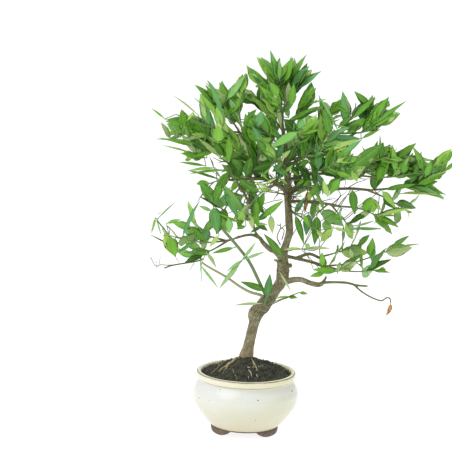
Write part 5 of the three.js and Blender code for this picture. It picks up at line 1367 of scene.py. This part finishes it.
# These hang lower, by the stem that bears them, and begin with their depth behind the pot's axis in
# millimetres.
LOW_LEAVES = {
    "centre_front": [
        (-38, 294.5, 213, 304, 245, 3.5, 0.2), (-30, 294, 214, 304.5, 197, 3, 0.1),
        (-40, 303, 214, 311, 229, 2.8, 0.6), (-24, 309, 212, 306, 236, 4.8, 0.12),
        (-44, 317, 213.5, 314.5, 245.5, 5.3, 0.15), (-34, 318, 213.5, 317, 204.5, 2, 0.9),
        (-30, 310, 192, 309, 201, 2.5, 0.75), (-36, 320, 242.5, 334, 226, 4.4, 0.85),
        (-36, 334, 228, 346, 231.5, 1.8, 0.9), (-30, 331, 215, 344.5, 218, 2.6, 0.5),
        (-40, 305, 244, 310.5, 248, 2.5, 0.8), (-34, 284, 249.5, 302, 248, 1.4, 0.85),
        (-34, 302, 249, 331, 248.5, 1.8, 0.96),
    ],
    "south_east_front": [
        (-30, 322.5, 267, 322, 252, 3.2, 0.6), (-28, 325, 273, 309.5, 276.5, 2.8, 0.6),
        (-30, 338, 271, 312.5, 269.5, 3.6, 0.45), (-32, 338.5, 271.5, 357.5, 261.5, 4.6, 1),
        (-30, 340, 268, 361, 256, 2, 0.2), (-26, 352, 260, 350, 248.5, 3.6, 0.96),
    ],
    "east_drop_low": [
        (-30, 352, 188, 355, 215, 4.4, 0.3), (-28, 381, 190, 396, 209, 4.4, 0.75),
        (-30, 368, 198.5, 381, 210, 4.6, 0.85), (-32, 355.5, 219.5, 373, 209.5, 3.6, 0.96),
        (-30, 330, 216, 345.5, 219.5, 2.8, 0.5), (-28, 358, 229.5, 382, 228.5, 1.5, 0.4),
    ],
    "east_drop": [
        (-26, 378, 214, 411.5, 208, 2.6, 0.15), (-28, 378, 216, 399, 227.5, 3.2, 0.3),
    ],
    "west_hang": [
        (-34, 224, 186, 237.7, 218.5, 4.6, 0.25), (-40, 213, 205, 217.5, 234, 7, 0.24),
        (-36, 221, 184, 213.5, 204, 4.2, 0.3), (-36, 210, 228, 199.5, 245, 5, 0.1),
        (-42, 229, 217.5, 229.5, 233.5, 3.8, 0.8), (-38, 238, 222, 226, 217, 1.8, 0.96),
        (-40, 237.5, 222.5, 217, 213, 1.3, 0.55), (-38, 212, 211, 199, 206, 2, 0.8),
        (-40, 219, 235, 209.5, 247, 2.5, 0.85),
    ],
    "west_hang_near": [
        (-46, 250.5, 211, 252.5, 229.5, 3.4, 0.9), (-48, 260, 218.5, 284, 200, 3.3, 0.45),
        (-40, 255, 222, 268, 231, 3, 0.15), (-38, 269, 212, 257, 221, 3.2, 0.1),
        (-44, 270.5, 214, 272.5, 234, 3.2, 0.9), (-46, 254, 223.5, 268.5, 225, 1.5, 0.96),
        (-40, 250, 222, 243, 212, 2.4, 0.15), (-42, 246, 226, 236, 229, 2, 0.3),
        (-40, 262, 226, 250, 233, 2, 0.15),
    ],
    "bright_leaf": [
        (-30, 284, 258, 263.5, 233.5, 3.8, 0.28), (-24, 279.5, 272, 291, 292, 1.3, 0.96),
    ],
    "cut_shoot": [
        (-36, 243, 259, 256, 241.5, 1.7, 0.93), (-36, 244, 259.5, 265.5, 251.5, 1.6, 0.93),
        (-38, 242.5, 259.5, 226, 272, 1.6, 0.93), (-38, 241.5, 261.5, 219, 289, 2.6, 0.93),
        (-40, 235, 247.5, 211.5, 253.5, 2.3, 0.3),
    ],
    "long_shoot": [
        (-42, 200, 264.5, 219, 289, 1.4, 0.8), (-42, 206, 252, 216.5, 268.5, 2.4, 0.96),
    ],
    "trunk_tuft": [
        (-16, 288, 297, 298, 298, 2.6, 0.45), (-16, 276, 298.5, 290, 296, 1.4, 0.75),
        (-18, 299, 292.5, 308, 294, 1.8, 0.35),
        (-22, 267, 291, 240, 281.5, 3.4, 0.2), (-24, 267, 299, 270, 273.5, 4.2, 0.1),
        (-22, 262, 303.5, 233, 305.5, 1.5, 0.98),
    ],
    "south_west_fine": [
        (-44, 164, 233, 176, 257, 6, 1.3), (-34, 166.5, 223.5, 181.5, 219.5, 2, 0.5),
        (-40, 157, 219.5, 176.5, 201, 0.8, 0.3), (-41, 155.5, 217.5, 152, 232.5, 1.3, 0.6),
        (-41, 157, 221, 161.5, 236, 0.7, 0.4), (-35, 173, 247, 148.5, 234, 0.8, 0.05),
        (-42, 162.5, 226, 165, 234, 1.6, 1), (-40, 170, 228, 178, 239, 0.7, 0.9),
    ],
}
# These stems carry only the leaves of these lists.
SEEN_STEMS = ("centre_front", "bright_leaf", "cut_shoot", "long_shoot", "trunk_tuft")
# Leaves whose half width is under this many pixels don't hold back others. In millimetres, a leaf's
# tip stands this far before its foot, and the leaves of the crown stand so far before their shoots.
# Those less pale than the shaded ones stand that much further back.
THIN_LEAF, TIP_FORWARD, CROWN_TIP_FORWARD = 1.6, 4, 7
BEFORE_SHOOT, SHADED, SHADED_BEHIND = 3, 0.14, 22
# How much a shoot's depth counts against its distance in the picture when a leaf picks its shoot.
DEPTH_WEIGHT = 0.14
# Each seen leaf bends over in its own way, by a noise that needs its seed set to be the same each time.
SWAY_SEED, SWAY_SCALE, SWAY_SHARE = 5, 70, 0.7
LEAF_FACES, SAG, SAG_SWAY, SEEN_FOLD = Vector((0.1, -0.85, 0.5)), 0.09, 0.12, 0.25
noise.seed_set(SWAY_SEED)
focal_pixels = camera_data.lens / camera_data.sensor_width * PICTURE_SIDE


def pixel_ray(across, down):
    """The way from the lens to a pixel, which is one metre long along the view."""
    return Vector((across - PICTURE_SIDE / 2, PICTURE_SIDE / 2 - down, -focal_pixels)) / focal_pixels


def behind_pixel(across, down, depth):
    """What shows at a pixel and lies this far behind the pot's axis, within the solids at the right."""
    ray = camera_turn @ pixel_ray(across, down)
    place = camera.location + ray * ((at(0, depth, 0) - camera.location).y / ray.y)
    place.x = min(place.x, cad_high.x)
    return place


def seen_blade(depth, across, down, tip_across, tip_down, half_width, tint, forward):
    """A blade read off the photograph, with its face towards the light in front."""
    foot = behind_pixel(across, down, depth)
    tip = behind_pixel(tip_across, tip_down, depth - forward)
    width = half_width * from_lens(foot) / focal_pixels
    run = (tip - foot).normalized()
    sway = noise.noise_vector(foot * SWAY_SCALE)
    up = LEAF_FACES + sway * SWAY_SHARE
    up = (up - run * up.dot(run)).normalized()
    bend = (foot + tip) / 2 + up * (tip - foot).length * (SAG + SAG_SWAY * sway.x)
    return {
        "foot": foot, "bend": bend, "tip": tip, "side": run.cross(up), "width": width,
        "fold": width * SEEN_FOLD, "tint": min(tint, 1), "youth": float(tint > 1),
        "thin": half_width < THIN_LEAF}


BLADE_THICKNESS, STALK_RADIUS, LEAF_SIDES = 0.0005, 0.0007, 8
SHOOT_RADII = (1.4, 0.7)
STEM_SEED = 400
# Shoots that end above this have drawn blades too. Those at the crown's edge keep nearer to the
# leaves seen in front, in metres in the picture, than those inside it.
CROWN_MIDDLE = (50, 0, 360)
DRAWN_ABOVE, CROWN_EDGE = 362, 0.1
EDGE_SLACK, INNER_SLACK, PACKED_SLACK, TIP_SLACK = 0.002, 0.005, 0.001, 0.006
MORE_CHANCE, FAN_COUNT = 0.8, 22
PACKED_SAMPLES, SEEN_SAMPLES, SAMPLES_ASIDE = 5, 10, 0.4
blade_object = show("unit_blade", unit_blade())
stems = {}
for name, route in SHOOTS.items():
    points, radii = tapered(route, SHOOT_STEPS, *SHOOT_RADII)
    stems[name] = (points[SHOOT_WOOD_STEPS:], radii[SHOOT_WOOD_STEPS:])
for name, (share, start, end, route) in PLACED.items():
    points, radii = tapered(route, PLACED_STEPS, start, end)
    first = round(share * PLACED_STEPS)
    stems[name] = (points[first:], radii[first:])
packed = {name: blades_of(name) for name in stems}
seen_leaves = {
    name: [seen_blade(*leaf, TIP_FORWARD) for leaf in LOW_LEAVES.get(name, ())] for name in stems}
crown_spots = [(name, at(*p)) for name in SHOOTS for p in stems[name][0]]
for leaf in CROWN_LEAVES:
    foot = pixel_ray(leaf[0], leaf[1]).to_2d() * POT_DISTANCE
    name, spot = min(
        crown_spots, key=lambda s: (in_view(s[1]).to_2d() - foot).length + DEPTH_WEIGHT * s[1].y)
    depth = (spot - pot_axis).y / MM - BEFORE_SHOOT
    if leaf[-1] < SHADED:
        depth += SHADED_BEHIND
    seen_leaves[name].append(seen_blade(depth, *leaf, CROWN_TIP_FORWARD))
samples = [
    middle_of(leaf, k / PACKED_SAMPLES)
    for blades in packed.values() for leaf in blades for k in range(PACKED_SAMPLES + 1)]
seen_aside = search_tree([(0, place.y, place.z) for place in samples])
samples = [
    middle_of(leaf, k / SEEN_SAMPLES) + leaf["side"] * leaf["width"] * side * SAMPLES_ASIDE
    for blades in seen_leaves.values() for leaf in blades if not leaf["thin"]
    for k in range(SEEN_SAMPLES + 1) for side in (-2, -1, 0, 1, 2)]
seen_front = search_tree([in_view(place) for place in samples])
seen_depths = [from_lens(place) for place in samples]
crown_middle = at(*leant(CROWN_MIDDLE))
for number, (name, (points, radii)) in enumerate(stems.items()):
    draw = random.Random(STEM_SEED + number)
    line = [at(*p) for p in points]
    blades = [] if name in SEEN_STEMS else packed[name]
    if name in SHOOTS:
        high = SHOOTS[name][-1][2] > DRAWN_ABOVE
        if high:
            outer = (in_view(line[-1]) - in_view(crown_middle)).length > CROWN_EDGE
            slack = EDGE_SLACK if outer else INNER_SLACK
            more = more_blades(blades, line, MORE_CHANCE, draw) + fan_blades(line, FAN_COUNT, slack, draw)
            blades = [leaf for leaf in blades if not strays(leaf, slack + PACKED_SLACK)]
            blades += [leaf for leaf in more if not strays(leaf, slack)]
        blades = [towards_light(leaf, draw) for leaf in blades]
        blades += [leaf for leaf in tip_blades(line, draw) if not (high and strays(leaf, TIP_SLACK))]
    seen = seen_leaves[name]
    blades += seen
    ties = [(min(line, key=lambda p: (p - leaf["foot"]).length), leaf["foot"]) for leaf in seen]
    source = stem_source(name, line, radii, blades, draw, ties)
    piece = grow("leafy_" + name, source, leaf_tree, Blade=blade_object, Thickness=BLADE_THICKNESS,
                 Stalk=STALK_RADIUS, Sides=LEAF_SIDES, Finish=leaf_finish)
    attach(piece, "root")
    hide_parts(name)

# Dry leaf
# Two small dead leaves, curled and brittle. One hangs from the end of the hooked twig, and the other
# is caught among the lowest shoots under the right of the crown.
DRY_THICKNESS, DRY_SEED = 0.0006, 7
HANGING_STALK = [(202, -35, 197.6), (202.1, -35, 196)]
HANGING_FOOT, HANGING_BEND, HANGING_TIP = (202.1, -35, 197), (202.4, -36.5, 186), (195.5, -33, 177.5)
HANGING_SIDE = (0.75, -0.66, 0)
HANGING_WIDTH, HANGING_FOLD = 0.0036, 0.0022
# In pixels, like the leaves above, with its depth in millimetres.
CAUGHT_DEPTH = -8
CAUGHT_STALK = [(309, 186), (308, 191)]
CAUGHT_LEAF = (308, 189, 304.5, 214, 2.4, 0.5)
HANGING_RADII, CAUGHT_RADII = (0.8, 0.5), (0.6, 0.6)
dry_finish, tree, shader = new_finish("dry_leaf", 0.7, Specular_IOR_Level=0.3)
place = put(tree, "ShaderNodeTexCoord").outputs["Object"]
blotch = noise_of(tree, place, 260, 5, 0.6)
tree.links.new(colour_ramp(
    tree, blotch, (0.3, (0.24, 0.09, 0.025)), (0.5, (0.50, 0.22, 0.06)), (0.7, (0.68, 0.40, 0.16))),
    shader.inputs["Base Color"])
bump(tree, shader, blotch, 0.0006, 0.9)
draw = random.Random(DRY_SEED)
hanging = {
    "foot": at(*leant(HANGING_FOOT)), "bend": at(*leant(HANGING_BEND)), "tip": at(*leant(HANGING_TIP)),
    "side": Vector(HANGING_SIDE).normalized(), "width": HANGING_WIDTH, "fold": HANGING_FOLD}
caught = seen_blade(CAUGHT_DEPTH, *CAUGHT_LEAF, TIP_FORWARD)
hanging_line = [at(*leant(p)) for p in HANGING_STALK]
caught_line = [behind_pixel(*pixel, CAUGHT_DEPTH) for pixel in CAUGHT_STALK]
for name, line, radii, blade in (
        ("dry_leaf_hanging", hanging_line, HANGING_RADII, hanging),
        ("dry_leaf_caught", caught_line, CAUGHT_RADII, caught)):
    source = stem_source(name + "_line", line, radii, [blade], draw)
    piece = grow(name, source, leaf_tree, Blade=blade_object, Thickness=DRY_THICKNESS,
                 Stalk=DRY_THICKNESS, Sides=LEAF_SIDES, Finish=dry_finish)
    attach(piece, "root")
    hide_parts("dry_leaf")
bpy.data.objects.remove(blade_object)
